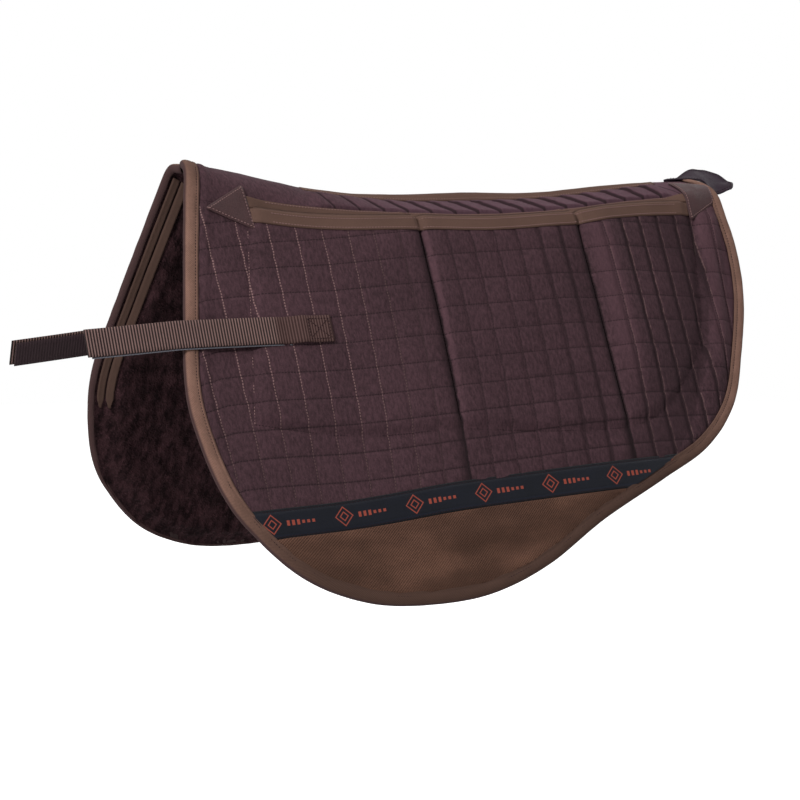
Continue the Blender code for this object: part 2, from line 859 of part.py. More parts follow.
def build_spine():
    x_front = pattern(OUTLINE[0]).x + LAYER_INSET
    x_rear = pattern(OUTLINE[-1]).x - LAYER_INSET
    withers, loin = pattern((WITHERS_END, 0)).x, pattern((LOIN_START, 0)).x
    whole = (x_front, x_rear)
    cover = (SPINE_HALF_WIDTH, FLAT_OUT, FLAT_OUT - COVER_THICK, "quilt")
    tape = (SPINE_TAPE_WIDTH / 2, TRIM_IN + TAPE_THICK, TRIM_IN, "tape")
    band = (SPINE_BAND_HALF_WIDTH, BACKING_OUT, BACKING_IN, "backing")
    fleece = (SPINE_FLEECE_HALF_WIDTH, FLEECE_OUT, FLEECE_IN, "fleece")
    parts = (
        ("withers_cap", (x_front, withers), 8, 4, cover),
        ("spine_strip", (withers + PLY_GAP, loin - PLY_GAP), 12, 4, cover),
        ("loin_cap", (loin, x_rear), 3, 4, cover),
        ("spine_tape", (withers + SPINE_TAPE_INSET, loin - SPINE_TAPE_INSET), 20, 2, tape),
        ("spine_backing", whole, 22, 4, band),
        ("spine_fleece", whole, 22, 6, fleece),
    )
    for name, span, columns, rows, (half, outer, inner, colour) in parts:
        draped_slab(name, spine_grid(span, half, columns, rows), 1, outer, inner, colour)


def build_spine_bindings():
    ends = (("front", pattern(OUTLINE[0]).x, 1), ("rear", pattern(OUTLINE[-1]).x, -1))
    for name, x, way in ends:
        stations = []
        for k in range(-4, 5):
            stations.append((Vector((x, SPINE_HALF_WIDTH * k / 4)), Vector((way, 0))))
        swept(f"{name}_spine_binding", stations, binding_profile(), 1, "binding")


def build_rear_tab():
    """A leather tab sewn over the rear end of the spine, with a free flap behind the edge."""
    low = TRIM_IN + BINDING_THICK + TRIM_GAP
    high = low + LEATHER_THICK
    x_edge = pattern(OUTLINE[-1]).x
    span = (x_edge - TAB_BASE_LENGTH, x_edge - TAB_HINGE_GAP / 2)
    base = spine_grid(span, SPINE_HALF_WIDTH - TAB_BASE_INSET, 2, 6)
    draped_slab("rear_tab_base", base, 1, high, low, "leather")
    rows = []
    for j in range(9):
        share = j / 4 - 1
        length = TAB_FLAP_LENGTH * (1 - TAB_TAPER * abs(share))
        x_start = x_edge + TAB_HINGE_GAP / 2
        rows.append([Vector((x_start + length * i / 2, TAB_WIDTH / 2 * share)) for i in range(3)])
    flap = draped_slab("rear_tab_flap", rows, 1, high, low, "leather")
    place = Vector((x_edge, 0, surface(x_edge, 0).z + high))
    hang(pivot("rear_tab_pivot", place), place, flap)


def panel_axis_point(side):
    """A point on the axis that one side opens about, level with the top of the withers."""
    x = pattern(OUTLINE[0]).x
    y = section(x, SPLIT)[0]
    return Vector((x, side * y, drape(x, SPLIT, FLAT_OUT).z))


def build_side(side, label, grid, marks):
    at = panel_axis_point(side)
    panel = pivot(f"{label}_panel_pivot", at)
    sewn_end = build_strap(side, label, panel, at)
    cloth = [
        *build_layers(side, label, grid, marks),
        *build_edge_trim(side, label, grid, marks),
        *build_mouth_tapes(side, label),
        *build_patches(side, label),
        build_ribbon(side, label),
        build_wear_patch(side, label),
        *build_shims(side, label),
        sewn_end,
    ]
    hang(panel, at, *cloth)


def main():
    clear_scene()
    grid, marks = panel_grid()
    build_spine()
    build_spine_bindings()
    build_rear_tab()
    for side, label in ((-1, "left"), (1, "right")):
        build_side(side, label, grid, marks)


main()
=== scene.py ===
"""Felt saddle pad: the finished cloth, leather and webbing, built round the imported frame.

Every cloth is cut on one flat pattern. A pattern point is (x, s): x along the spine, s the
distance from the spine over the cover, both in metres. drape() hangs it in space at a depth
measured from the top of the filled pockets; -Y is the left side, +X the rear.
"""

import math

import bmesh
import bpy
import numpy as np
from bpy.props import FloatProperty, FloatVectorProperty, PointerProperty
from mathutils import Matrix, Vector


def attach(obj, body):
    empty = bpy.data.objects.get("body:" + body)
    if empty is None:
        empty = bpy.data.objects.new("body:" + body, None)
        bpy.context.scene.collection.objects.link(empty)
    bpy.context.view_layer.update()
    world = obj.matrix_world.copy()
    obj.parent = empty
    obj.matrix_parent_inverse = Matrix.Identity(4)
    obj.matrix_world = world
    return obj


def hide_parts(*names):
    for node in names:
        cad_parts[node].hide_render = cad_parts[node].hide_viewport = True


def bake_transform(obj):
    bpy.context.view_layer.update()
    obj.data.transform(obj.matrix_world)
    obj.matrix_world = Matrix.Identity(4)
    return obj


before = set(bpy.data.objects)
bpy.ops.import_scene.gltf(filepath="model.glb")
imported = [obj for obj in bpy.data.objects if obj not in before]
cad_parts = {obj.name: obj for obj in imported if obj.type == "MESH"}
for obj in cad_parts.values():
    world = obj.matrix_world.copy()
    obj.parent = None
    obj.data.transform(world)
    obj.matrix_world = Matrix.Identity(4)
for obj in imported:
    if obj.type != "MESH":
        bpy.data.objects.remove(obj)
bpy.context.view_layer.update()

bl_info = {
    "name": "Felt Saddle Pad",
    "version": (1, 0, 0),
    "blender": (4, 5, 0),
    "location": "View3D > Sidebar > Saddle Pad",
    "description": "Builds a quilted saddle pad with shim pockets, bound edges and straps",
    "category": "Object",
}

MM = 0.001
SIDES = (("left", -1), ("right", 1))

# The draped surface, as in the frame: crown half width and ridge height along x, in mm
CROWN = ((-345, 16), (-200, 36), (-50, 54), (100, 60), (230, 50), (345, 40))
RIDGE = ((-345, 48), (-200, 14), (-50, 0), (100, 0), (230, 9), (345, 16))
SIDE_ANGLE = math.radians(24)
CROWN_TURN = math.radians(25)
SHOULDER_RADIUS = 34 * MM
TOP_HEIGHT = 24.1 * MM

# Depths of the cloth faces, in metres below the top of the filled pockets
FLAT_OUT = -3.7 * MM
STEP_OUT = -8.3 * MM
TRIM_IN = -2.9 * MM
FLEECE_IN = -24.1 * MM
EDGE_IN = -11.8 * MM

# Lines of the flat pattern, in mm
OUTLINE = (
    (-333, 0), (-348, 70), (-372, 187), (-388, 275), (-386, 335), (-372, 400), (-345, 448),
    (-295, 492), (-228, 513), (-152, 517), (-77, 511), (1, 486), (84, 444), (180, 405),
    (252, 373), (306, 324), (340, 255), (362, 192), (370, 130), (366, 75), (357, 0),
)
MOUTH = ((-276, 68), (-90, 69), (25, 74.5), (130, 73), (228, 66.5), (309, 65.5))
MOUTH_LINE = ((-360, 67), *MOUTH, (380, 65))
POCKET_BOTTOM = ((-318, 322), (-198, 325), (-76, 322), (42, 334), (143, 338), (205, 320), (262, 268))
POCKET_FRONT = ((-276, 70), (-297, 196), (-318, 322))
POCKET_REAR = ((309, 69), (303, 148), (286, 222), (262, 268))
DIVIDERS = (((-83, 73), (-72, 161), (-78, 322)), ((129, 77.5), (141, 207), (143, 338)))
RIBBON_TOP = ((-345, 421.5), (-180, 391), (-40, 379), (230, 376))
RIBBON_WIDTH = 33 * MM
FRONT_PATCH = ((-327, 76), (-277, 40), (-270, 94))
REAR_PATCH = ((311, 14), (309, 90), (352, 68), (356, 36))
# The quilting lines that are sewn through as dividers, each with half the width of the strip of painted
# light behind it, and the fold near the rear edge as (down, across) line numbers
DIVIDER_LINES = ((8, 0.13), (15, 0.75))
REAR_FOLD = ((-3, 21.5), (-1.13, 21.2), (0.47, 20.86), (2.1, 20.53), (3.81, 20.1), (5.54, 19.2), (8, 17.8))
# The ridge is sharper than the frame's: its height over it in mm along x, and the sag beside it
PEAK = (
    (-345, 0), (-309, 1), (-285, 3), (-260, 4.4), (-211, 4.4), (-185, 2.8), (-121, 2.4), (-56, 5.0),
    (-10, 7.2), (25, 8.0), (45, 7.6), (100, 4.8), (150, 3.4), (200, 3.4), (300, 1.8), (358, 0),
)
PEAK_REACH = 15 * MM
SAG = ((-345, 0), (-200, 0), (-120, 3.0), (-60, 5.2), (200, 5.2), (300, 1.2), (358, 0))
REAR_TAB = (
    (324, -3), (352, -6), (372, -16), (386, -20), (411, -18), (416, -10), (408, 10), (394, 20),
    (356, 22), (330, 18), (322, 8),
)
WITHERS_END = -190 * MM
MOUTH_LIP = 1.6 * MM
MOUTH_ENDS = (-276 * MM, 309 * MM)
MOUTH_FADE = 26 * MM
RIDGE_TAPE_HALF = 9.5 * MM
RIDGE_TAPE_ENDS = (-186 * MM, 297 * MM)

# The spine strip's slanted quilting: its slant, and the distance from the spine where it meets the side's
SPINE_SLANT = 22 * MM
SPINE_LINE = 78 * MM
SPINE_STRIP_END = 300 * MM

# Shims: depth of each, gap to the pocket's seams, and how far below the mouth they end
SHIM_DEPTHS = {"front": 2.5 * MM, "middle": 4.0 * MM, "rear": 4.0 * MM}
SHIM_GAP = 17.3 * MM
SHIM_TOP = 21 * MM

# The ribbon's woven figures repeat after this many millimetres, and its edge stitches lie this far in
FIGURE_REPEAT = 86.0
RIBBON_SEAM = 2.4 * MM

# Where the quilting's lines run: line numbers as a polynomial in x / 0.35 and (s - 0.25) / 0.25
QUILT_POWERS = (
    (0, 0), (0, 1), (0, 2), (1, 0), (1, 1), (1, 2), (2, 0), (2, 1), (2, 2), (3, 0), (3, 1), (4, 0),
)
QUILT_ACROSS = (
    10.2482, 0.1544, 0.3979, 11.3893, -0.429, -0.1728, -0.1089, -0.3447, -0.6306, 0.3561, 0.6892, 0.9046,
)
QUILT_DOWN = (
    4.315, 8.2063, 0.1475, 0.1522, 0.4397, 0.4508, -0.4981, 0.1516, -0.1857, 0.2204, -0.4711, -0.2626,
)
CELL = 30 * MM

# Sections of the folded binding and of a mouth tape, as (gap from the edge, height) in mm
BINDING_RING = (
    (15.4, -3.4), (15.6, -2.2), (14.8, -1.4), (13.2, -1.2), (12.0, -1.65), (10.8, -1.25), (8.4, -0.9),
    (5.2, -1.0), (2.6, -1.8), (0.9, -3.3), (0.1, -5.0), (0.0, -6.8), (0.3, -8.6), (1.3, -10.2),
    (2.8, -11.3), (4.2, -11.8), (5.4, -12.0), (6.0, -11.4), (5.4, -10.8), (3.8, -10.2), (2.3, -8.6),
    (2.0, -6.6), (2.8, -4.6), (6.0, -3.4),
)
MOUTH_TAPE_RING = (
    (-3.5, -3.0), (-1.2, -2.2), (-1.4, 0.4), (-0.6, 1.7), (0.6, 2.2), (3.2, 1.6), (5.5, 1.9),
    (8.2, 1.6), (10.2, 2.0), (11.2, 1.6), (11.4, 0.4), (9.0, -0.2), (1.0, -0.2), (0.2, -2.0),
)

# Slack of the cover over the pockets: height in mm against the number of the vertical line
SLACK = (
    (-3, 0), (0, 0), (2, 0.8), (4, 0), (6, 1.2), (7.3, 1.0), (7.95, -1.8), (8.4, 1.2), (10, 1.2), (12, 0.6),
    (13.6, 1.6), (14.9, -2.0), (16.2, 6.0), (17.2, 3.0), (19, -1.6), (20.6, -2.6), (22.3, -2.0), (25, 0),
)

# Strap: width, length sewn on and free length, then of each side the length past the fold, the
# start as (x, s) in mm and the slope
STRAP_WIDTH = 31 * MM
STRAP_SEWN = 48 * MM
STRAP_FREE = 135.25 * MM
STRAP_TIPS = {-1: 104.75 * MM, 1: 98.75 * MM}
STRAP_STARTS = {-1: (-254, 209), 1: (-254, 227)}
STRAP_SLOPES = {-1: math.radians(8.8), 1: math.radians(11.6)}
TIP_DROOP = math.radians(3)

# The stage: the camera's place, turn in degrees and lens in mm, the floor, and each lamp's place, size
# and power
CAMERA_PLACE, CAMERA_TURN, CAMERA_LENS = (-1.50192, -2.50224, 0.09164), (83.9985, 0.1351, -30.0232), 112.66
FLOOR_RADIUS, FLOOR_HEIGHT = 7.0, -0.95
LAMP_AIM = (0, 0, -0.15)
LAMPS = {
    "key lamp": ((-4.5, -1.95, 2.9), 0.95, 310),
    "top lamp": ((0.3, -0.3, 2.5), 1.4, 26),
    "far lamp": ((-1.6, 2.2, 0.9), 1.6, 6),
    "rear lamp": ((2.4, 0.8, 1.0), 1.4, 12),
}
WHITE = (1.0, 1.0, 1.0)


# Sizes and colours that a user may change


def tone(red, green, blue):
    """A colour given as 0 to 255 on screen, as a linear colour."""
    values = (c / 255 for c in (red, green, blue))
    return tuple(c / 12.92 if c <= 0.04045 else ((c + 0.055) / 1.055) ** 2.4 for c in values)


def colour_setting(name, description, red, green, blue):
    """A colour that a user may change."""
    return FloatVectorProperty(
        name=name,
        description=description,
        default=tone(red, green, blue),
        size=3,
        min=0.0,
        max=1.0,
        subtype="COLOR",
    )


def size_setting(name, description, millimetres):
    """A length that a user may change."""
    return FloatProperty(
        name=name, description=description, default=millimetres * MM, unit="LENGTH", subtype="DISTANCE"
    )


class SaddlePadSizes(bpy.types.PropertyGroup):
    """Sizes of the sewing."""

    puff: size_setting("Quilting puff", "How far a quilted square stands up in its middle", 0.9)
    groove: size_setting("Stitch groove", "How deep the quilting's stitches draw the cover in", 1.1)
    lap: size_setting("Quilting lap", "How far each upright strip stands over the one before it", 1.9)
    pile: size_setting("Fleece pile", "How far the tufts of the fleece stand out", 2.4)
    stitch: size_setting("Stitch length", "Length of one stitch of the visible sewing", 2.6)
    stitch_pitch: size_setting("Stitch pitch", "Distance from one stitch to the next", 3.6)
    rib: size_setting("Webbing rib", "Distance between the ribs of the strap webbing", 3.3)


class SaddlePadColours(bpy.types.PropertyGroup):
    """Colours of the cloths, leather and thread."""

    cover: colour_setting("Cover", "Quilted cover cloth", 60, 41, 46)
    binding: colour_setting("Binding", "Folded binding round the edge", 112, 84, 73)
    tape: colour_setting("Tape", "Tapes of the pocket mouth and the spine", 84, 63, 55)
    wear_patch: colour_setting("Wear patch", "Woven patch along the bottom", 82, 57, 46)
    ribbon: colour_setting("Ribbon", "Satin ribbon above the wear patch", 12, 14, 22)
    motif: colour_setting("Ribbon motif", "Woven figures on the ribbon", 150, 70, 55)
    leather: colour_setting("Leather", "Corner patches", 59, 40, 41)
    dark_leather: colour_setting("Dark leather", "Rear tab", 37, 26, 35)
    webbing: colour_setting("Webbing", "Ribs of the strap", 112, 88, 84)
    grip: colour_setting("Grip tape", "Tape behind the strap", 48, 36, 39)
    fleece: colour_setting("Fleece", "Lining", 33, 20, 22)
    felt: colour_setting("Felt", "Core and shims", 122, 112, 104)
    backing: colour_setting("Backing", "Plain cloth behind the pockets", 50, 38, 38)
    thread: colour_setting("Thread", "Visible stitching", 128, 100, 98)


# The flat pattern


def smooth_run(points, count=240):
    """A smooth line through points given in mm, as count points in metres."""
    knots = np.array(points, float) * MM
    knots = np.vstack([2 * knots[0] - knots[1], knots, 2 * knots[-1] - knots[-2]])
    last = len(points) - 1
    t = np.linspace(0, last, count)
    i = np.minimum(t.astype(int), last - 1)
    f = (t - i)[:, None]
    p0, p1, p2, p3 = (knots[i + k] for k in range(4))
    m1, m2 = (p2 - p0) / 2, (p3 - p1) / 2
    return (
        p1 * (2 * f**3 - 3 * f**2 + 1)
        + m1 * (f**3 - 2 * f**2 + f)
        + p2 * (3 * f**2 - 2 * f**3)
        + m2 * (f**3 - f**2)
    )


def pairs(*columns):
    """Columns of numbers side by side, such as x and s."""
    return np.stack(columns, -1)


def smooth_step(value):
    """0 to 1 with a smooth start and end."""
    value = np.clip(value, 0, 1)
    return value * value * (3 - 2 * value)


CROWN_RUN, RIDGE_RUN = smooth_run(CROWN), smooth_run(RIDGE)
PEAK_RUN, SAG_RUN = np.array(PEAK) * MM, np.array(SAG) * MM
OUTLINE_RUN = smooth_run(OUTLINE, 200)
MOUTH_RUN = smooth_run(MOUTH_LINE)
BOTTOM_RUN = smooth_run(POCKET_BOTTOM)
FRONT_RUN, REAR_RUN = smooth_run(POCKET_FRONT, 60), smooth_run(POCKET_REAR, 60)
RIBBON_RUN = smooth_run(RIBBON_TOP)
SLACK_RUN = smooth_run(SLACK) / MM
REAR_FOLD_RUN = np.array(REAR_FOLD)


def surface(x, s):
    """The top of the filled pockets at pattern points. A negative s is the left side."""
    crown = s_at(CROWN_RUN, x)
    turn = math.pi / 2 - SIDE_ANGLE - CROWN_TURN
    radius = crown / CROWN_TURN
    far = np.abs(s)
    a = np.minimum(far, crown) / radius
    y, z = radius * np.sin(a), -radius * (1 - np.cos(a))
    a = np.clip(far - crown, 0, SHOULDER_RADIUS * turn) / SHOULDER_RADIUS
    y = y + SHOULDER_RADIUS * (np.sin(CROWN_TURN + a) - math.sin(CROWN_TURN))
    z = z - SHOULDER_RADIUS * (math.cos(CROWN_TURN) - np.cos(CROWN_TURN + a))
    rest = np.maximum(far - crown - SHOULDER_RADIUS * turn, 0)
    y, z = y + rest * math.sin(SIDE_ANGLE), z - rest * math.cos(SIDE_ANGLE)
    return pairs(x, np.copysign(y, s), TOP_HEIGHT + s_at(RIDGE_RUN, x) + z)


def outward(x, s):
    """Unit normals of the drape. Right on the spine it points straight up from the ridge line."""
    step = 0.4 * MM
    along = surface(x + step, s) - surface(x - step, s)
    across = surface(x, s + step) - surface(x, s - step)
    found = np.cross(along, across)
    return found / np.linalg.norm(found, axis=-1, keepdims=True)


def ridge_rise(x, s):
    """How much higher the real ridge stands than the frame's."""
    far = np.abs(s)
    withers = smooth_step((-0.19 - x) / 0.02)
    reach = PEAK_REACH + 24 * MM * withers
    peak = s_at(PEAK_RUN, x) * np.maximum(1 - far / reach, 0)
    sag = (1 - np.exp(-far / (6 * MM))) * smooth_step((62 * MM - far) / (38 * MM))
    split = 4.5 * MM * smooth_step((-0.275 - x) / 0.04) * smooth_step((26 * MM - far) / (20 * MM))
    return peak - s_at(SAG_RUN, x) * sag - split * (np.copysign(1, s) > 0)


def s_at(run, x):
    """How far from the spine a line lies at places along it."""
    return np.interp(x, *run.T)


def x_at(run, s):
    """Where along the spine a line lies at distances from it."""
    return np.interp(s, run[:, 1], run[:, 0])


def drape(x, s, depth):
    """Pattern points hung in space at a depth."""
    x, s = np.broadcast_arrays(np.asarray(x, float), np.asarray(s, float))
    place = surface(x, s) + outward(x, s) * np.broadcast_to(depth, x.shape)[..., None]
    place[..., 2] += ridge_rise(x, s)
    return place


def right_of(way):
    """The directions to the right of directions on the pattern."""
    return np.stack([way[:, 1], -way[:, 0]], -1)


def inset(run, distance):
    """A line moved to its right-hand side, which is inwards on the outline."""
    way = np.gradient(run, axis=0)
    way /= np.linalg.norm(way, axis=1, keepdims=True)
    return run + right_of(way) * distance


def nearest(line, x, s, closed=False):
    """The nearest points of a line, and how far away they are."""
    start = line if closed else line[:-1]
    step = (np.roll(line, -1, 0) if closed else line[1:]) - start
    squares = (step**2).sum(-1) + 1e-18
    found, gaps = np.empty((len(x), 2)), np.empty(len(x))
    for first in range(0, len(x), 4000):
        rows = slice(first, first + 4000)
        points = np.stack([x[rows], s[rows]], -1)[:, None]
        share = np.clip(((points - start) * step).sum(-1) / squares, 0, 1)
        on = start + share[..., None] * step
        gap = np.linalg.norm(points - on, axis=-1)
        k = gap.argmin(1)
        each = np.arange(len(k))
        found[rows], gaps[rows] = on[each, k], gap[each, k]
    return found, gaps


def inside(region, x, s):
    """Which points lie in a closed region."""
    found = np.zeros(len(x), bool)
    for (x0, s0), (x1, s1) in zip(region, np.roll(region, -1, 0)):
        crossed = (s0 > s) != (s1 > s)
        if s0 != s1:
            found ^= crossed & (x < x0 + (s - s0) / (s1 - s0) * (x1 - x0))
    return found


def edge_gap(x, s):
    """Distance from the pad's edge."""
    return nearest(OUTLINE_RUN, x, np.abs(s))[1]


def mouth_at(x):
    """How far from the spine the pocket mouth lies."""
    return s_at(MOUTH_RUN, x)


def mouth_share(x):
    """1 where the pocket mouth is open, 0 past its ends."""
    return smooth_step((x - MOUTH_ENDS[0]) / MOUTH_FADE) * smooth_step((MOUTH_ENDS[1] - x) / MOUTH_FADE)


def quilt_lines(x, s):
    """Numbers of the vertical and the horizontal quilting lines at pattern points."""
    a, b = x / 0.35, (s - 0.25) / 0.25
    terms = np.stack([a**i * b**j for i, j in QUILT_POWERS], -1)
    return terms @ np.array(QUILT_ACROSS), terms @ np.array(QUILT_DOWN)


def quilt_point(across, down):
    """The pattern point at line numbers, found in a few Newton steps."""
    x, s = (across - 10.3) * 0.0305, 0.121 + down * 0.0305
    step = 1e-4
    for _ in range(14):
        a0, d0 = quilt_lines(x, s)
        ax, dx = quilt_lines(x + step, s)
        as_, ds = quilt_lines(x, s + step)
        ax, dx, as_, ds = ((v - w) / step for v, w in ((ax, a0), (dx, d0), (as_, a0), (ds, d0)))
        miss_a, miss_d = across - a0, down - d0
        span = ax * ds - as_ * dx
        span = np.where(np.abs(span) < 100, 100, span)
        x = np.clip(x + np.clip((ds * miss_a - as_ * miss_d) / span, -0.03, 0.03), -0.42, 0.41)
        s = np.clip(s + np.clip((ax * miss_d - dx * miss_a) / span, -0.03, 0.03), -0.03, 0.57)
    return x, s


def divider_run(line):
    """The part of a quilting line that is sewn through between two pockets."""
    x, s = quilt_point(np.full(70, float(line)), np.linspace(-2.6, 7.6, 70))
    kept = (s > mouth_at(x)) & (s < s_at(BOTTOM_RUN, x))
    return np.stack([x[kept], s[kept]], -1)


DIVIDER_RUNS = [divider_run(line) for line, _ in DIVIDER_LINES]


def bell(distance, width):
    """1 in the middle, falling away over a width."""
    return np.exp(-((distance / width) ** 2))


def tuck(x, s):
    """The folds that the dividers pull across the pocket mouth and its tapes."""
    found = 0 * x
    for run in DIVIDER_RUNS:
        top = run[0, 1]
        middle = x_at(run, s) - 0.5 * np.maximum(top + 6 * MM - s, 0)
        off = x - middle
        near = smooth_step((s - top + 20 * MM) / (8 * MM)) * smooth_step((top + 60 * MM - s) / (40 * MM))
        found = found + near * (1.3 * MM * bell(off + 4.0 * MM, 3.2 * MM) - 1.9 * MM * bell(off, 1.7 * MM))
    return found


def rear_fold(x, s):
    """The cover folds down along a line from the rear patch, and rises to a roll beside the binding."""
    line, down = quilt_lines(x, s)
    off = (line - np.interp(down, *REAR_FOLD_RUN.T)) * CELL
    share = smooth_step((down + 2.4) / 1.6) * (1 - smooth_step((down - 4.5) / 3.5))
    past = np.maximum(off, 0)
    roll = 6.5 * MM * (1 - np.exp(-past / (9 * MM))) * (1 - smooth_step((past - 26 * MM) / (26 * MM)))
    return share * (roll - 2.6 * MM * np.exp(-np.abs(off) / (6 * MM)))


def pocket_depth(x, s):
    """Depth of the cover below the mouth: raised over the pockets, with its seams drawn in."""
    front = x - x_at(FRONT_RUN, s)
    rear = x_at(REAR_RUN, s) - x
    low = s_at(BOTTOM_RUN, x) - s
    room = np.minimum(np.minimum(front, rear), low)
    depth = FLAT_OUT * (1 - smooth_step(room / (13 * MM)))
    depth = depth - 0.9 * MM * bell(np.minimum(np.abs(low), np.abs(front)), 1.8 * MM) * (room > -4 * MM)
    within = smooth_step(low / (20 * MM))
    for run in DIVIDER_RUNS:
        gap = np.abs(x - x_at(run, s))
        depth = depth - within * (1.6 * MM * bell(gap, 5 * MM) + 2.4 * MM * bell(gap, 1.7 * MM))
    across, down = quilt_lines(x, s)
    slack = np.interp(across, *SLACK_RUN.T) * MM
    share = smooth_step((down + 2.6) / 2.4) * (1 - smooth_step((down - 3.8) / 3.4))
    return depth + slack * share * smooth_step(room / (30 * MM) + 0.5) + tuck(x, s) + rear_fold(x, s)


def edge_relief(x, s):
    """The roll of padding beside the front binding, and the line of sewing behind it."""
    gap = edge_gap(x, s)
    roll = 2.0 * MM * bell(gap - 22 * MM, 5 * MM) - 0.9 * MM * bell(gap - 31 * MM, 2 * MM)
    front = smooth_step((0.05 - x) / 0.2) * smooth_step((0.37 - s) / 0.05)
    return roll * front - 1.4 * MM * bell(gap - 13 * MM, 4 * MM)


def quilted(across, down, sizes):
    """Puffed squares. Towards the rear each upright strip laps over the one in front of it."""
    strong = smooth_step((across - 2.5) / 9.5)
    past = np.clip(across - np.floor(across + 2e-3), 0, 1)
    off = (across - np.rint(across)) * CELL
    height = sizes.puff * (1 - np.exp(-np.abs(off) / (5 * MM)))
    height = height - sizes.groove * (0.35 + 0.55 * strong) * bell(off + 0.6 * MM, 1.3 * MM)
    height = height + sizes.lap * (0.1 + 0.9 * strong) * (1 - past) ** 1.6
    if down is None:
        return height
    gap = (down - np.rint(down)) * CELL
    return height * (1 - 0.35 * bell(gap, 2.2 * MM)) - sizes.groove * 0.24 * bell(gap, 1.3 * MM)


def cover_depth(x, s, sizes):
    """Depth of the quilted cover below the mouth, flat where tape, ribbon or patch lies on it."""
    trim = np.minimum(np.abs(s - mouth_at(x) - 9 * MM) - 9.5 * MM, edge_gap(x, s) - 17 * MM)
    trim = np.minimum(trim, ribbon_at(x) + 2 * MM - s)
    free = smooth_step(trim / (5 * MM) + 0.6)
    across, down = quilt_lines(x, s)
    return pocket_depth(x, s) + edge_relief(x, s) + quilted(across, down, sizes) * (0.12 + 0.88 * free)


def mouth_depth(x, s):
    """Depth of the cover above the mouth, which sinks under the mouth's upper tape."""
    rise = smooth_step((1 - np.abs(s) / mouth_at(x) - 0.2) / 0.6)
    return FLAT_OUT + (STEP_OUT - FLAT_OUT) * (1 - rise) * mouth_share(x) + tuck(x, s)


def lining_depth(x, s):
    """Depth of the fleece's face, which thins towards the binding."""
    return EDGE_IN + (FLEECE_IN - EDGE_IN) * smooth_step((edge_gap(x, s) - 8 * MM) / (30 * MM))


def lattice(points, seed):
    """Smooth noise between -1 and 1 over points in cells of one unit."""
    cell = np.floor(points).astype(np.int64)
    f = points - cell
    f = f * f * (3 - 2 * f)

    def corner(dx, dy):
        n = (cell[:, 0] + dx) * 374761393 + (cell[:, 1] + dy) * 668265263 + seed * 69069
        n = ((n ^ (n >> 13)) * 1274126177) & 0xFFFFFFFF
        return ((n ^ (n >> 16)) & 0xFFFF) / 32767.5 - 1

    low = corner(0, 0) * (1 - f[:, 0]) + corner(1, 0) * f[:, 0]
    high = corner(0, 1) * (1 - f[:, 0]) + corner(1, 1) * f[:, 0]
    return low * (1 - f[:, 1]) + high * f[:, 1]


# Making meshes


def grid_indices(bm, columns, rows):
    """Column and row of each vertex of a new grid."""
    bm.verts.index_update()
    flat = np.array([v.co[:2] for v in bm.verts])
    flat = (flat - flat.min(0)) / np.ptp(flat, axis=0)
    return np.rint(flat * (columns - 1, rows - 1)).astype(int).T


def mesh_of(name, bm):
    """A new mesh from a BMesh, which is freed."""
    mesh = bpy.data.meshes.new(name)
    bm.to_mesh(mesh)
    bm.free()
    return mesh


def object_of(name, mesh, finish):
    """A new object in the scene with one material."""
    mesh.materials.append(finish)
    mesh.shade_smooth()
    made = bpy.data.objects.new(name, mesh)
    bpy.context.scene.collection.objects.link(made)
    return made


def set_map(mesh, name, values):
    """A UV map from one pair of values a vertex."""
    corners = np.empty(len(mesh.loops), np.int32)
    mesh.loops.foreach_get("vertex_index", corners)
    mesh.uv_layers.new(name=name).data.foreach_set("uv", values[corners].astype(np.float32).ravel())


def cloth(name, us, vs, flat, depth, finish, side=1, facing=1, thick=0.0, region=None, lines=None):
    """A cloth on a grid of stations, cut to a region of the pattern and draped."""
    us, vs = np.asarray(us, float), np.asarray(vs, float)
    bm = bmesh.new()
    bmesh.ops.create_grid(bm, x_segments=len(us) - 1, y_segments=len(vs) - 1, size=1.0)
    i, j = grid_indices(bm, len(us), len(vs))
    for vert, u, v in zip(bm.verts, us[i], vs[j]):
        vert.co = (u, v, 0)
    if region is not None:
        kept = inside(region, *flat(us[i], vs[j]))
        away = [face for face in bm.faces if not any(kept[v.index] for v in face.verts)]
        bmesh.ops.delete(bm, geom=away, context="FACES")
    mesh = mesh_of(name, bm)
    stations = np.empty(len(mesh.vertices) * 3)
    mesh.vertices.foreach_get("co", stations)
    u, v = stations.reshape(-1, 3)[:, 0], stations.reshape(-1, 3)[:, 1]
    x, s = flat(u, v)
    if region is not None:
        out = ~inside(region, x, s)
        moved = nearest(region, x[out], s[out], closed=True)[0]
        x[out], s[out] = moved[:, 0], moved[:, 1]
    mesh.vertices.foreach_set("co", drape(x, side * s, depth(x, s)).ravel())
    set_map(mesh, "flat", pairs(x, s))
    if lines is not None:
        set_map(mesh, "quilting", np.stack(lines(x, s), -1))
    if side * facing < 0:
        mesh.flip_normals()
    made = object_of(name, mesh, finish)
    if thick:
        wall = made.modifiers.new("Cloth thickness", "SOLIDIFY")
        wall.thickness, wall.offset = thick, -1
    return made


def cut_cloth(name, region, spacing, depth, finish, **more):
    """A cloth cut to a region on a plain grid."""
    low, high = region.min(0), region.max(0)
    counts = np.maximum(3, np.ceil((high - low) / spacing).astype(int) + 1)
    us, vs = (np.linspace(a, b, n) for a, b, n in zip(low, high, counts))
    return cloth(name, us, vs, lambda u, v: (u.copy(), v.copy()), depth, finish, region=region, **more)


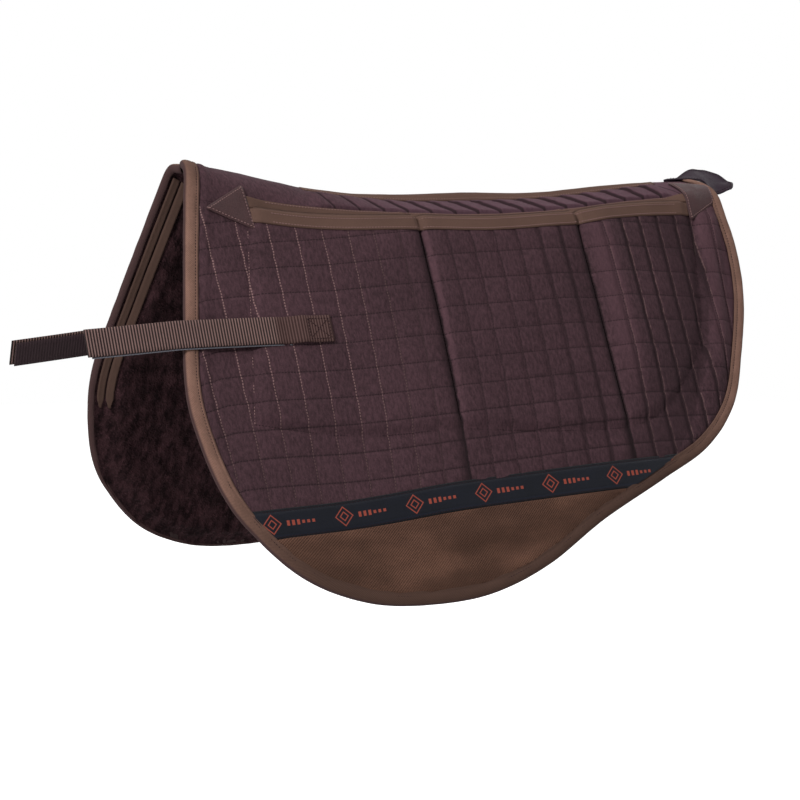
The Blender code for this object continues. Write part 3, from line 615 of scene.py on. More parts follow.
def swept(name, stations, ring, place, finish):
    """A closed section carried along stations. place(t, a, h) gives the points in space."""
    stations, ring = np.asarray(stations, float), np.asarray(ring, float)
    bm = bmesh.new()
    layer = bm.loops.layers.uv.new("flat")
    bmesh.ops.create_grid(bm, x_segments=len(stations) - 1, y_segments=len(ring), size=1.0)
    i, j = grid_indices(bm, len(stations), len(ring) + 1)
    k = j % len(ring)
    sides = np.linalg.norm(np.roll(ring, -1, 0) - ring, axis=1)
    around = np.concatenate([[0], np.cumsum(sides)])
    for vert, point in zip(bm.verts, place(stations[i], ring[k, 0], ring[k, 1])):
        vert.co = point
    for face in bm.faces:
        for loop in face.loops:
            at = loop.vert.index
            loop[layer].uv = (stations[i[at]], around[j[at]])
    bmesh.ops.remove_doubles(bm, verts=bm.verts[:], dist=1e-7)
    bmesh.ops.holes_fill(bm, edges=[edge for edge in bm.edges if edge.is_boundary], sides=0)
    bmesh.ops.recalc_face_normals(bm, faces=bm.faces[:])
    return object_of(name, mesh_of(name, bm), finish)


def strip_ring(half, low, high, edge=0.5 * MM, steps=6):
    """The section of a flat strip with softened edges, from one edge over the top and back."""
    top = [(a, high) for a in np.linspace(edge - half, half - edge, steps)]
    middle = (low + high) / 2
    return [(-half, middle), *top, (half, middle), *((a, low) for a, _ in reversed(top))]


def along(run, distance, gap=0.0):
    """Pattern points at distances along a line, moved to its right by a gap."""
    reach = np.concatenate([[0], np.cumsum(np.linalg.norm(np.diff(run, axis=0), axis=1))])
    at = np.stack([np.interp(distance, reach, c) for c in run.T], -1)
    step = 2 * MM
    low, high = (np.clip(distance + d, 0, reach[-1]) for d in (-step, step))
    way = np.stack([np.interp(high, reach, c) - np.interp(low, reach, c) for c in run.T], -1)
    way /= np.linalg.norm(way, axis=-1, keepdims=True) + 1e-12
    return at + right_of(way) * np.asarray(gap)[..., None]


def run_length(run):
    """Length of a line."""
    return float(np.linalg.norm(np.diff(run, axis=0), axis=1).sum())


def stitches(name, rows, sizes, finish):
    """Separate stitches. Each row is (place, start, end): place(t) gives points along it, t in metres."""
    bm = bmesh.new()
    half, pitch = sizes.stitch / 2, sizes.stitch_pitch
    for place, start, end in rows:
        t = np.arange(start + half, end - half, pitch)
        a, b, up = place(t - half), place(t + half), place(t, 0.3 * MM) - place(t)
        for p, q, out in zip(a, b, up):
            way = Vector(q - p) / 2
            out = Vector(out).normalized() * 0.45 * MM
            side = way.cross(out).normalized() * 0.5 * MM
            middle = Vector((p + q) / 2)
            turn = Matrix([(*row, 0) for row in (way * 1.05, side, out)] + [(*middle, 1)]).transposed()
            bmesh.ops.create_icosphere(bm, subdivisions=1, radius=1.0, matrix=turn)
    bmesh.ops.recalc_face_normals(bm, faces=bm.faces[:])
    return object_of(name, mesh_of(name, bm), finish)


def sewn_row(run, side, depth, gap=0.0):
    """A function that gives points along a row of stitches on the draped cloth."""

    def place(t, lift=0.0):
        x, s = along(run, t, gap).T
        return drape(x, side * s, depth(x, s) + lift)

    return place


# Node trees


def reckoning(operation):
    """A method that makes one maths node."""
    return lambda self, *others: self.tree.math(operation, self, *others)


class Value:
    """A number in a node tree. Reckoning with it makes maths nodes."""

    def __init__(self, tree, socket):
        self.tree, self.socket = tree, socket

    __add__, __sub__ = reckoning("ADD"), reckoning("SUBTRACT")
    __mul__, __truediv__ = reckoning("MULTIPLY"), reckoning("DIVIDE")
    __gt__, __lt__ = reckoning("GREATER_THAN"), reckoning("LESS_THAN")
    __abs__, __round__ = reckoning("ABSOLUTE"), reckoning("ROUND")


class Tree:
    """Short calls for the nodes of one tree."""

    def __init__(self, tree):
        self.tree = tree

    def node(self, kind, **values):
        """A new node with some of its properties set."""
        made = self.tree.nodes.new(kind)
        for key, value in values.items():
            setattr(made, key, value)
        return made

    def values(self, node):
        """A node's outputs by name, as values to reckon with."""
        return {socket.name: Value(self, socket) for socket in node.outputs}

    def feed(self, socket, value):
        """Link a value to a socket, or set the socket to a plain one. None leaves it as it is."""
        if isinstance(value, Value):
            value = value.socket
        if isinstance(value, bpy.types.NodeSocket):
            self.tree.links.new(value, socket)
        elif value is not None:
            socket.default_value = value

    def math(self, operation, *values):
        """One maths node."""
        made = self.node("ShaderNodeMath", operation=operation)
        for socket, value in zip(made.inputs, values):
            self.feed(socket, value)
        return Value(self, made.outputs[0])

    def most(self, first, second):
        """The larger of two values."""
        return self.math("MAXIMUM", first, second)

    def mix(self, share, first, second):
        """A colour between two."""
        made = self.node("ShaderNodeMix", data_type="RGBA")
        self.feed(made.inputs[0], share)
        for socket, colour in zip((made.inputs[6], made.inputs[7]), (first, second)):
            self.feed(socket, (*colour, 1.0) if isinstance(colour, tuple) and len(colour) == 3 else colour)
        return made.outputs[2]

    def fed(self, made, **values):
        """A node with its named inputs fed, as its outputs by name."""
        for key, value in values.items():
            self.feed(made.inputs[key.replace("_", " ")], value)
        return self.values(made)

    def noise(self, vector, scale, detail=2.0, rough=0.5):
        """Soft noise from 0 to 1."""
        made = self.node("ShaderNodeTexNoise")
        return self.fed(made, Vector=vector, Scale=scale, Detail=detail, Roughness=rough)["Fac"]

    def span(self, value, low, high, start=0.0, end=1.0):
        """A smooth change from start to end while the value goes from low to high."""
        made = self.node("ShaderNodeMapRange", interpolation_type="SMOOTHSTEP")
        return self.fed(made, Value=value, From_Min=low, From_Max=high, To_Min=start, To_Max=end)["Result"]

    def band(self, value, low, full, past, high):
        """0 up to low, 1 from full to past, and 0 again from high."""
        return self.span(value, low, full) * self.span(value, past, high, 1.0, 0.0)

    def wave(self, value, pitch):
        """0 to 1 and back over each pitch."""
        return self.math("SINE", value * (2 * math.pi / pitch)) * 0.5 + 0.5

    def parts(self, vector):
        """The x, y and z of a vector."""
        return list(self.fed(self.node("ShaderNodeSeparateXYZ"), Vector=vector).values())

    def scaled(self, vector, scale):
        """A vector times a scale for each axis."""
        return self.fed(self.node("ShaderNodeMapping"), Vector=vector, Scale=scale)["Vector"]

    def map(self, name):
        """The place on a UV map."""
        return self.node("ShaderNodeUVMap", uv_map=name).outputs[0]

    def place(self):
        """The place in the object's own space."""
        return self.node("ShaderNodeTexCoord").outputs["Object"]

    def group(self, name, **values):
        """A shared group with its inputs fed, as its outputs by name."""
        return self.fed(self.node("ShaderNodeGroup", node_tree=shared_group(name)), **values)

    def weave(self, vector, pitch, twill):
        """The height of a weave with a pitch in mm."""
        turns = 2 * math.pi / (pitch * MM)
        return self.group("Woven threads", Vector=vector, Across=turns, Down=turns, Twill=twill)["Height"]


def wire_mottle(t, taken):
    """Cloth that wears a little lighter and darker in soft patches, with fine fibres."""
    broad = t.noise(taken["Vector"], taken["Patch Scale"], 3.0, 0.55)
    fine = t.noise(taken["Vector"], taken["Fibre Scale"], 3.0, 0.7)
    return {"Tone": t.span(broad * 0.55 + fine * 0.45, 0.32, 0.68), "Fibre": fine}


def wire_weave(t, taken):
    """Threads over and under each other, with an optional diagonal rib."""
    x, y, _ = t.parts(taken["Vector"])
    over, under = x * taken["Across"], y * taken["Down"]
    plain = t.math("SINE", over) * t.math("SINE", under)
    rib = t.math("SINE", over + under)
    return {"Height": (plain * 0.5 + rib * taken["Twill"]) * 0.5 + 0.5}


def wire_line(t, taken):
    """A sewn line at every whole number, soft at its sides and broken into stitches."""
    off = abs(taken["Line"] - round(taken["Line"]))
    step = t.math("FRACT", taken["Run"] * taken["Stitches"])
    dash = t.span(abs(step - 0.5), 0.26, 0.40, 1.0, 0.0)
    core = t.span(off, 0.010, 0.026, 1.0, 0.0)
    return {"Stitch": core * dash, "Groove": t.span(off, 0.0, 0.075, 1.0, 0.0)}


# Each shared group: how it is wired, its inputs with their usual values (None for a vector), its outputs
GROUPS = {
    "Cloth mottle": (
        wire_mottle, {"Vector": None, "Patch Scale": 14.0, "Fibre Scale": 420.0}, ("Tone", "Fibre"),
    ),
    "Woven threads": (
        wire_weave, {"Vector": None, "Across": 5000.0, "Down": 5000.0, "Twill": 0.3}, ("Height",),
    ),
    "Sewn line": (wire_line, {"Line": 0.0, "Run": 0.0, "Stitches": 9.0}, ("Stitch", "Groove")),
}


def shared_group(name):
    """A node group with named sockets, built once."""
    if name in bpy.data.node_groups:
        return bpy.data.node_groups[name]
    wire, takes, gives = GROUPS[name]
    tree = bpy.data.node_groups.new(name, "ShaderNodeTree")
    for label, value in takes.items():
        kind = "NodeSocketVector" if value is None else "NodeSocketFloat"
        socket = tree.interface.new_socket(label, in_out="INPUT", socket_type=kind)
        if value is not None:
            socket.default_value = value
    for label in gives:
        tree.interface.new_socket(label, in_out="OUTPUT", socket_type="NodeSocketFloat")
    inner = Tree(tree)
    given = inner.node("NodeGroupOutput").inputs
    for label, value in wire(inner, inner.values(inner.node("NodeGroupInput"))).items():
        inner.feed(given[label], value)
    return tree


def shaded(colour, factor):
    """A colour made darker or lighter by a factor."""
    return tuple(min(1.0, c * factor) for c in colour)


def tinted(colour, factors):
    """A colour with a factor for each of red, green and blue."""
    return tuple(c * factor for c, factor in zip(colour, factors))


class Finish(Tree):
    """A new material and the tree of its nodes."""

    def __init__(self, name, rough, specular=0.12):
        self.material = bpy.data.materials.new(name)
        self.material.use_nodes = True
        super().__init__(self.material.node_tree)
        self.shader = self.tree.nodes["Principled BSDF"].inputs
        self.shader["Roughness"].default_value = rough
        self.shader["Specular IOR Level"].default_value = specular

    def done(self, base, height, distance, rough=None):
        """The material with its colour, a bump of a height over a distance, and its varying roughness."""
        bump = self.node("ShaderNodeBump")
        self.feed(bump.inputs["Height"], height)
        self.feed(bump.inputs["Distance"], distance)
        self.feed(self.shader["Base Color"], base)
        self.feed(self.shader["Roughness"], rough)
        self.feed(self.shader["Normal"], bump.outputs[0])
        return self.material


def woven_finish(name, colour, pitch, twill, contrast, depth=0.12, mapped=True, fade=0.0):
    """A plain or twilled cloth in one colour, which may be faded in broad bands."""
    t = Finish(name, 0.88)
    vector = t.map("flat") if mapped else t.place()
    mottle = t.group("Cloth mottle", Vector=vector)
    weave = t.weave(vector, pitch, twill)
    share = mottle["Tone"] * 0.4 + weave * 0.6
    base = t.mix(share, shaded(colour, 1 - contrast), shaded(colour, 1 + contrast))
    if fade:
        bands = t.span(t.noise(t.scaled(vector, (0.35, 1.0, 1.0)), 26.0, 3.0), 0.36, 0.64, fade, 0.0)
        base = t.mix(bands, base, shaded(colour, 0.45))
    rough = t.span(mottle["Fibre"], 0.2, 0.8, 0.8, 0.95)
    return t.done(base, weave + mottle["Fibre"] * 0.5, depth * MM, rough)


def binding_finish(colour):
    """Binding tape, with painted shade at the top of the front edge, along the bottom, and over its rolled
    edge and inner leg.
    """
    t = Finish("edge binding", 0.88)
    vector = t.map("flat")
    run, around, _ = t.parts(vector)
    mottle = t.group("Cloth mottle", Vector=vector, Patch_Scale=30.0, Fibre_Scale=330.0)
    weave = t.weave(vector, 2.2, 0.7)
    share = mottle["Tone"] * 0.5 + weave * 0.5
    base = t.mix(share, shaded(colour, 0.62), shaded(colour, 1.38))
    hem = t.span(around, 4.2 * MM, 3.2 * MM) * 0.35
    base = t.mix(hem, base, shaded(colour, 0.3))
    # Painted shade along the bottom, which faces down, and at the top of the front edge
    low = t.band(run, 0.34, 0.56, 1.02, 1.22)
    top = t.span(run, 0.01, 0.09, 0.5, 0.0)
    fold = t.span(around, 15.5 * MM, 18.5 * MM, 0.0, 1.0)
    painted_shade_tone = t.mix(weave, shaded(colour, 0.18), shaded(colour, 0.42))
    base = t.mix(t.most(low * 0.9, top), base, painted_shade_tone)
    # Painted shade over the rolled edge and the inner leg, which face away from the lamps
    base = t.mix(fold, base, tinted(colour, (0.27, 0.26, 0.34)))
    return t.done(base, weave + mottle["Fibre"] * 0.7, 0.2 * MM)


def quilt_finish(name, colour, thread, dividers, start=-1.0, crease=0.06, under_share=0.75):
    """The cover cloth, with its quilting sewn in squares behind x = start. Light and shade are painted on
    its grooves, stitches, laps, folds and divider seams.
    """
    t = Finish(name, 0.88)
    flat, lines = t.map("flat"), t.parts(t.map("quilting"))
    sway = t.noise(flat, 75.0, 2.0) * 0.09 - 0.045
    lines[0] = lines[0] + sway
    behind = t.parts(flat)[0] > start
    mottle = t.group("Cloth mottle", Vector=flat, Patch_Scale=9.0, Fibre_Scale=520.0)
    weave = t.weave(flat, 0.9, 0.5)
    upright = t.group("Sewn line", Line=lines[0], Run=lines[1], Stitches=9.0)
    level = t.group("Sewn line", Line=lines[1], Run=lines[0], Stitches=9.0)
    fuzz = t.noise(t.scaled(flat, (1.0, 0.4, 1.0)), 300.0, 5.0, 0.8)
    tint = mottle["Tone"] * 0.35 + weave * 0.2
    tint = tint + t.span(fuzz, 0.34, 0.66, 0.0, 0.6)
    base = t.mix(tint, shaded(colour, 0.36), shaded(colour, 1.50))
    if not dividers:
        # Painted light: behind the withers the spine cover is made lighter and bluer, as its top faces the
        # light from above
        painted_top_light = t.span(t.parts(flat)[0], start - 0.04, start + 0.16, 0.0, 0.3)
        base = t.mix(painted_top_light, base, tinted(colour, (2.7, 2.8, 3.1)))
    # Painted shade in the stitch grooves, darker towards the rear and the bottom; crease sets the shade in
    # the upright grooves
    rear = t.span(lines[0], 2.0, 8.0)
    low = t.span(lines[1], 3.0, 8.0, 0.0, 0.75)
    dark = t.most(rear, low)
    dim = (dark * 0.42 + crease) * upright["Groove"]
    across = level["Groove"] * (low * 0.3 + 0.16)
    groove = t.most(dim * behind, across)
    base = t.mix(groove, base, shaded(colour, 0.30))
    off = lines[0] - round(lines[0])
    # Painted shade just in front of each upright line, under the lap of the strip behind it, in the rear
    # part
    lapped = t.span(lines[0], 11.0, 15.0)
    under = t.span(off, -0.3, -0.02) * (off < 0.0)
    base = t.mix(under * lapped * under_share, base, shaded(colour, 0.28))
    # Painted highlight: a thin light line, broken here and there, on the lapped edge just behind each
    # upright line in the rear part
    lip = t.band(off, 0.0, 0.015, 0.03, 0.065)
    broken = t.span(t.noise(flat, 160.0, 2.0), 0.35, 0.6, 0.25, 1.0)
    lip = lip * broken * t.span(lines[0], 14.5, 16.5)
    base = t.mix(lip * (under_share * 0.5), base, shaded(thread, 0.9))
    if dividers:
        # Painted shade in the valley in front of the rear fold, and painted light on the strip behind it
        level_at = lines[1] * lines[1] * 0.055
        behind_fold = lines[0] + level_at - 21.0
        valley = t.band(behind_fold, -3.6, -1.2, -0.02, 0.06)
        base = t.mix(valley * 0.42, base, shaded(colour, 0.35))
        painted_fold_light = t.span(behind_fold, 0.03, 0.35) * t.span(behind_fold, 1.6, 2.6, 0.45, 0.0)
        painted_fold_light = painted_fold_light * t.span(lines[1], 2.5, 6.0, 1.0, 0.0)
        base = t.mix(painted_fold_light, base, shaded(colour, 1.9))
    for line, width in dividers:
        # Painted light on a strip behind each divider, and painted shade just in front of it
        painted_strip_light = abs(lines[0] - line - width)
        painted_strip_light = t.span(painted_strip_light, width * 0.3, width, 0.4, 0.0) * t.span(lines[1], 2.0, 7.5, 1.0, 0.0)
        base = t.mix(painted_strip_light, base, shaded(colour, 2.0))
        shade = lines[0] - line
        shade = t.span(shade, -0.5, -0.02) * (shade < 0.0)
        base = t.mix(shade * 0.7, base, shaded(colour, 0.25))
    # The level stitches are dark thread with painted shade; the upright ones are light thread at the front,
    # turning to painted shade towards the rear and the bottom
    upright_tone = t.mix(dark, shaded(thread, 1.1), shaded(colour, 0.40))
    base = t.mix(level["Stitch"] * 0.7, base, shaded(colour, 0.30))
    base = t.mix(upright["Stitch"] * behind * 0.75, base, upright_tone)
    # Painted shade in the crease along each divider seam
    for line, _ in dividers:
        seam = t.span(abs(lines[0] - line), 0.015, 0.055, 0.7, 0.0)
        base = t.mix(seam, base, shaded(colour, 0.12))
    stitch = t.most(upright["Stitch"] * behind, level["Stitch"])
    fine = weave * 0.4 + fuzz * 3.0
    return t.done(base, fine + stitch * 1.5, 0.22 * MM, t.span(mottle["Fibre"], 0.2, 0.8, 0.78, 0.94))


def fleece_finish(colour):
    """Deep curly pile: dark between the tufts, with lighter fibres."""
    t = Finish("fleece", 0.95, 0.05)
    vector = t.map("flat")
    mottle = t.group("Cloth mottle", Vector=vector, Patch_Scale=32.0, Fibre_Scale=900.0)
    curls = t.node("ShaderNodeTexVoronoi", feature="F1")
    warped = t.node("ShaderNodeVectorMath", operation="MULTIPLY_ADD")
    t.feed(warped.inputs[0], t.noise(vector, 260.0, 2.0))
    warped.inputs[1].default_value = (0.004, 0.004, 0.0)
    t.feed(warped.inputs[2], vector)
    t.feed(curls.inputs["Vector"], warped.outputs[0])
    curls.inputs["Scale"].default_value = 330.0
    strand = t.span(curls.outputs["Distance"], 0.05, 0.65, 1.0, 0.0)
    share = strand * mottle["Tone"]
    cloud = t.span(t.noise(t.scaled(vector, (1.0, 0.4, 1.0)), 95.0, 4.0, 0.7), 0.36, 0.66, 0.0, 0.62)
    base = t.mix(share * 0.6 + cloud, shaded(colour, 0.45), shaded(colour, 3.1))
    return t.done(base, strand + mottle["Fibre"] * 0.8, 0.9 * MM)


def ribbon_finish(colour, motif):
    """Satin ribbon with plain woven figures: a double diamond, then three tall and three short bars."""
    t = Finish("satin ribbon", 0.5)
    run, across, _ = t.parts(t.map("figure"))
    phase = t.math("FRACT", run / (FIGURE_REPEAT * MM)) - 0.25
    run_at = phase * FIGURE_REPEAT
    high = across * 1000.0 - 16.5
    size = abs(run_at) + abs(high)
    ring = t.band(size, 9.2, 9.8, 10.9, 11.5)
    inner = t.band(size, 3.6, 4.2, 5.3, 5.9)
    dash_run = t.math("FRACT", (run_at - 16.0) / 6.0) - 0.5
    tall = t.span(run_at, 33.5, 34.5, 2.9, 1.7)
    dash = t.span(abs(dash_run), 0.24, 0.32, 1.0, 0.0) * (abs(high) < tall)
    reach = (run_at > 16.0) * (run_at < 52.0)
    figure = t.most(t.most(ring, inner), dash * reach)
    satin = t.wave(run, 0.9 * MM)
    mottle = t.group("Cloth mottle", Vector=t.map("figure"), Patch_Scale=22.0)
    base = t.mix(mottle["Tone"], shaded(colour, 0.72), shaded(colour, 1.3))
    hem = t.most(t.span(high, 14.2, 14.9), t.span(high, -14.9, -14.2, 1.0, 0.0))
    base = t.mix(hem * 0.8, base, shaded(colour, 0.35))
    edge = t.band(high, 11.2, 11.8, 13.4, 14.0)
    base = t.mix(edge * 0.55, base, shaded(colour, 2.6))
    base = t.mix(figure * (satin * 0.3 + 0.62), base, motif)
    return t.done(base, satin + figure, 0.10 * MM, figure * 0.3 + 0.4)


def webbing_finish(colour, rib):
    """Ribbed webbing: light ribs and dark gaps across its length."""
    t = Finish("strap webbing", 0.72)
    vector = t.map("flat")
    run, around, _ = t.parts(vector)
    mottle = t.group("Cloth mottle", Vector=vector, Patch_Scale=26.0)
    shape = t.wave(run, rib)
    warp = t.wave(around, 1.1 * MM)
    light = t.span(shape, 0.40, 0.90)
    ribs = t.mix(mottle["Tone"] * 0.4 + 0.5, shaded(colour, 0.62), shaded(colour, 1.12))
    base = t.mix(light, shaded(colour, 0.08), ribs)
    # Painted shade over the sewn end and the bend just past it, where the strap turns away from the lamps
    sewn = t.span(run, 14 * MM, 24 * MM, 0.68, 0.0)
    base = t.mix(sewn, base, tinted(colour, (0.27, 0.20, 0.20)))
    return t.done(t.mix(warp * 0.2, base, shaded(colour, 0.3)), shape + warp * 0.4, 0.25 * MM)


def grip_finish(colour, rib):
    """Hook tape with faint ribs, and a painted highlight along its grey lower edge."""
    t = Finish("grip tape", 0.8)
    vector = t.map("flat")
    run, around, _ = t.parts(vector)
    fuzz = t.noise(vector, 800.0, 3.0, 0.7)
    share = t.wave(run, rib) * 0.45 + fuzz * 0.55
    base = t.mix(share, shaded(colour, 0.5), shaded(colour, 1.5))
    # Painted highlight along the lower edge, over the tape's grey edge
    edge = t.band(around, 28.3 * MM, 28.7 * MM, 30.6 * MM, 31.0 * MM)
    base = t.mix(edge, base, tinted(colour, (4.5, 7.5, 7.5)))
    return t.done(base, t.wave(run, rib) + fuzz, 0.3 * MM)


def leather_finish(name, colour, rough):
    """Smooth leather with a fine grain, scuffed lighter on its high spots."""
    t = Finish(name, rough, 0.16)
    vector = t.map("flat")
    grain = t.node("ShaderNodeTexVoronoi", feature="DISTANCE_TO_EDGE")
    t.feed(grain.inputs["Vector"], vector)
    grain.inputs["Scale"].default_value = 620.0
    cells = t.span(grain.outputs["Distance"], 0.0, 0.25)
    patches = t.noise(vector, 46.0, 4.0, 0.6)
    share = cells * 0.35 + patches * 0.65
    rough = t.span(patches, 0.3, 0.7, rough - 0.08, rough + 0.12)
    base = t.mix(share, shaded(colour, 0.55), shaded(colour, 1.45))
    return t.done(base, cells + patches, 0.14 * MM, rough)


def felt_finish(colour):
    """Pressed felt: matted fibres with specks."""
    t = Finish("pressed felt", 0.95)
    vector = t.map("flat")
    mottle = t.group("Cloth mottle", Vector=vector, Patch_Scale=60.0, Fibre_Scale=1100.0)
    specks = t.span(t.noise(vector, 700.0, 1.0), 0.62, 0.72)
    base = t.mix(mottle["Tone"], shaded(colour, 0.75), shaded(colour, 1.2))
    return t.done(t.mix(specks * 0.5, base, shaded(colour, 0.4)), mottle["Fibre"], 0.5 * MM)


def finishes():
    """Every material by name, built on first use from the scene's colours."""
    made = {m["pad_finish"]: m for m in bpy.data.materials if "pad_finish" in m}
    if made:
        return made
    colour = bpy.context.scene.saddle_pad_colours
    sizes = bpy.context.scene.saddle_pad_sizes
    of = {key: tuple(getattr(colour, key)) for key in SaddlePadColours.__annotations__}
    made = {
        "quilt": quilt_finish("quilted cover", of["cover"], of["thread"], DIVIDER_LINES),
        # The spine cover is the cover's colour made a little lighter, as painted light on the top; its
        # slanted quilting is drawn as painted shadows, with dark stitches and deep crease shade
        "spine_quilt": quilt_finish(
            "spine cover", shaded(of["cover"], 1.06), shaded(of["cover"], 0.3), (),
            start=WITHERS_END, crease=0.42, under_share=0.0,
        ),
        "binding": binding_finish(of["binding"]),
        "tape": woven_finish("woven tape", of["tape"], 1.3, 0.5, 0.24),
        # The tapes on the lining are the tape's colour made darker: painted shade inside the pad
        "inner_tape": woven_finish("lining tape", shaded(of["tape"], 0.62), 1.3, 0.5, 0.3),
        "wear": woven_finish("wear patch", of["wear_patch"], 3.2, 0.5, 0.85, 0.7, fade=0.6),
        "ribbon": ribbon_finish(of["ribbon"], of["motif"]),
        "webbing": webbing_finish(of["webbing"], sizes.rib),
        "grip": grip_finish(of["grip"], sizes.rib),
        "leather": leather_finish("brown leather", of["leather"], 0.52),
        "dark_leather": leather_finish("dark leather", of["dark_leather"], 0.62),
        "fleece": fleece_finish(of["fleece"]),
        "felt": felt_finish(of["felt"]),
        "band": woven_finish("ridge band", of["backing"], 1.0, 0.1, 0.3),
        "backing": woven_finish("pocket backing", of["backing"], 1.0, 0.1, 0.3),
        "thread": woven_finish("sewing thread", of["thread"], 0.5, 0.0, 0.2, 0.05, False),
        "dark_thread": woven_finish(
            "dark sewing thread", shaded(of["cover"], 0.4), 0.5, 0.0, 0.2, 0.05, False
        ),
    }
    for key, material in made.items():
        material["pad_finish"] = key
    return made


# The pieces


def hang_from_spine(piece):
    """Bake the piece's place into its mesh."""
    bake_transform(piece)


def whole_side(gap, top, rear, front, low=None):
    """The region inside the edge by a gap, closed near the spine by a line from rear to front."""
    rim = inset(OUTLINE_RUN, gap)
    if low is not None:
        rim = rim[rim[:, 1] > low]
    return np.vstack([rim, [[rear, top], [front, top]]])


def build_covers(sizes):
    """The cover of each side: one cloth below the mouth, and one above it."""
    steps = np.array([0, 0.035, 0.085, 0.18, 0.33, 0.5, 0.67, 0.82, 0.915, 0.965])
    across = (np.arange(-3, 25)[:, None] + steps).ravel()
    down = (np.arange(-4, 15)[:, None] + steps).ravel()
    rim = inset(OUTLINE_RUN, 5 * MM)
    upper_lip = MOUTH_LIP * mouth_share(MOUTH_RUN[:, 0])
    lip_shift = pairs(0 * upper_lip, upper_lip)
    mouth = MOUTH_RUN + lip_shift
    low_rim = rim[rim[:, 1] > 71 * MM]
    reach = (mouth[:, 0] > low_rim[0, 0]) & (mouth[:, 0] < low_rim[-1, 0])
    pocket_region = np.vstack([low_rim, mouth[reach][::-1]])
    x_scale = np.linspace(-0.4, 0.39, 400)
    line_x = np.interp(across, quilt_lines(x_scale, np.full(400, SPINE_LINE))[0], x_scale)

    def spine_flat(u, v):
        x = np.interp(u, across, line_x) + SPINE_SLANT * (v - 0.9)
        return x, v * (mouth_at(x) - np.interp(x, MOUTH_RUN[:, 0], upper_lip))

    def spine_lines(x, s):
        slant = x - SPINE_SLANT * (s / mouth_at(x) - 0.9)
        return quilt_lines(slant, np.full_like(x, SPINE_LINE))[0], np.full_like(x, 0.5)

    def spine_depth(x, s):
        sewn = smooth_step((x - WITHERS_END) / (12 * MM)) * smooth_step((SPINE_STRIP_END - x) / (12 * MM))
        free = smooth_step((mouth_at(x) - s - 13 * MM) / (6 * MM)) * smooth_step((s - 9 * MM) / (5 * MM))
        puffed = 2.2 * MM * smooth_step((s - 9 * MM) / (14 * MM)) * free
        return mouth_depth(x, s) + edge_relief(x, s) + sewn * free * (
            quilted(spine_lines(x, s)[0], None, sizes) * 1.8 + puffed
        )

    half = len(rim) // 2
    front = rim[:half][rim[:half, 1] < 74 * MM]
    rear = rim[half:][rim[half:, 1] < 74 * MM]
    rows = np.concatenate([[0, 0.04, 0.09], np.linspace(0.14, 1, 34)])
    lip = MOUTH_RUN - lip_shift
    reach = (lip[:, 0] > front[-1, 0]) & (lip[:, 0] < rear[0, 0])
    ends = [[front[0, 0], -1 * MM], [rear[-1, 0], -1 * MM]]
    spine_region = np.vstack([[ends[0]], front, lip[reach], rear, [ends[1]]])
    for label, side in SIDES:
        pocket = cloth(
            f"{label}_pocket_cover", across, down, quilt_point, lambda x, s: cover_depth(x, s, sizes),
            finishes()["quilt"], side=side, thick=1.3 * MM, region=pocket_region, lines=quilt_lines,
        )
        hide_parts(f"{label}_quilted_cover")
        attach(pocket, f"{label}_side")
        spine = cloth(
            f"{label}_spine_cover", across, rows, spine_flat, spine_depth, finishes()["spine_quilt"],
            side=side, thick=2.2 * MM, region=spine_region, lines=spine_lines,
        )
        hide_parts(f"{label}_upper_cover", "withers_cap", "spine_strip", "loin_cap")
        hang_from_spine(spine)


def build_lining(sizes):
    """Felt core and fleece of each side."""
    region = whole_side(6 * MM, -1 * MM, 0.345, -0.325)
    core_region = whole_side(26 * MM, 34 * MM, 0.32, -0.31, low=34 * MM)
    band_region = np.array([[-0.325, -18 * MM], [0.348, -18 * MM], [0.348, 18 * MM], [-0.325, 18 * MM]])
    band = cut_cloth(
        "ridge_band", band_region, 6 * MM, lambda x, s: -7.0 * MM + 0 * x, finishes()["band"], thick=1 * MM
    )
    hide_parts("spine_backing")
    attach(band, "spine")

    def pile_depth(x, s):
        points = pairs(x, s)
        curl = lattice(points / (8.5 * MM), 3) * 0.55 + np.abs(lattice(points / (4.6 * MM), 5)) * 0.9
        cloud = lattice(points / (60 * MM), 9) * 0.5
        gap = edge_gap(x, s)
        share = smooth_step((gap - 6 * MM) / (10 * MM))
        taped = smooth_step((0.315 - s) / 0.01) * (x < 0) * smooth_step((32 * MM - gap) / (5 * MM))
        share = share * (1 - 0.85 * taped)
        return lining_depth(x, s) + sizes.pile * share * (0.4 - curl + cloud) + 1.2 * MM * taped

    for label, side in SIDES:
        fleece = cut_cloth(
            f"{label}_fleece", region, 3 * MM, pile_depth, finishes()["fleece"],
            side=side, facing=-1, thick=3.5 * MM,
        )
        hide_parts(f"{label}_fleece_lining", "spine_fleece")
        hang_from_spine(fleece)
        core = cut_cloth(
            f"{label}_core", core_region, 12 * MM,
            lambda x, s: np.minimum(mouth_depth(x, s) - 4.0 * MM, -8 * MM),
            finishes()["felt"], side=side, thick=5.0 * MM,
        )
        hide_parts(f"{label}_felt_core")
        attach(core, f"{label}_side")


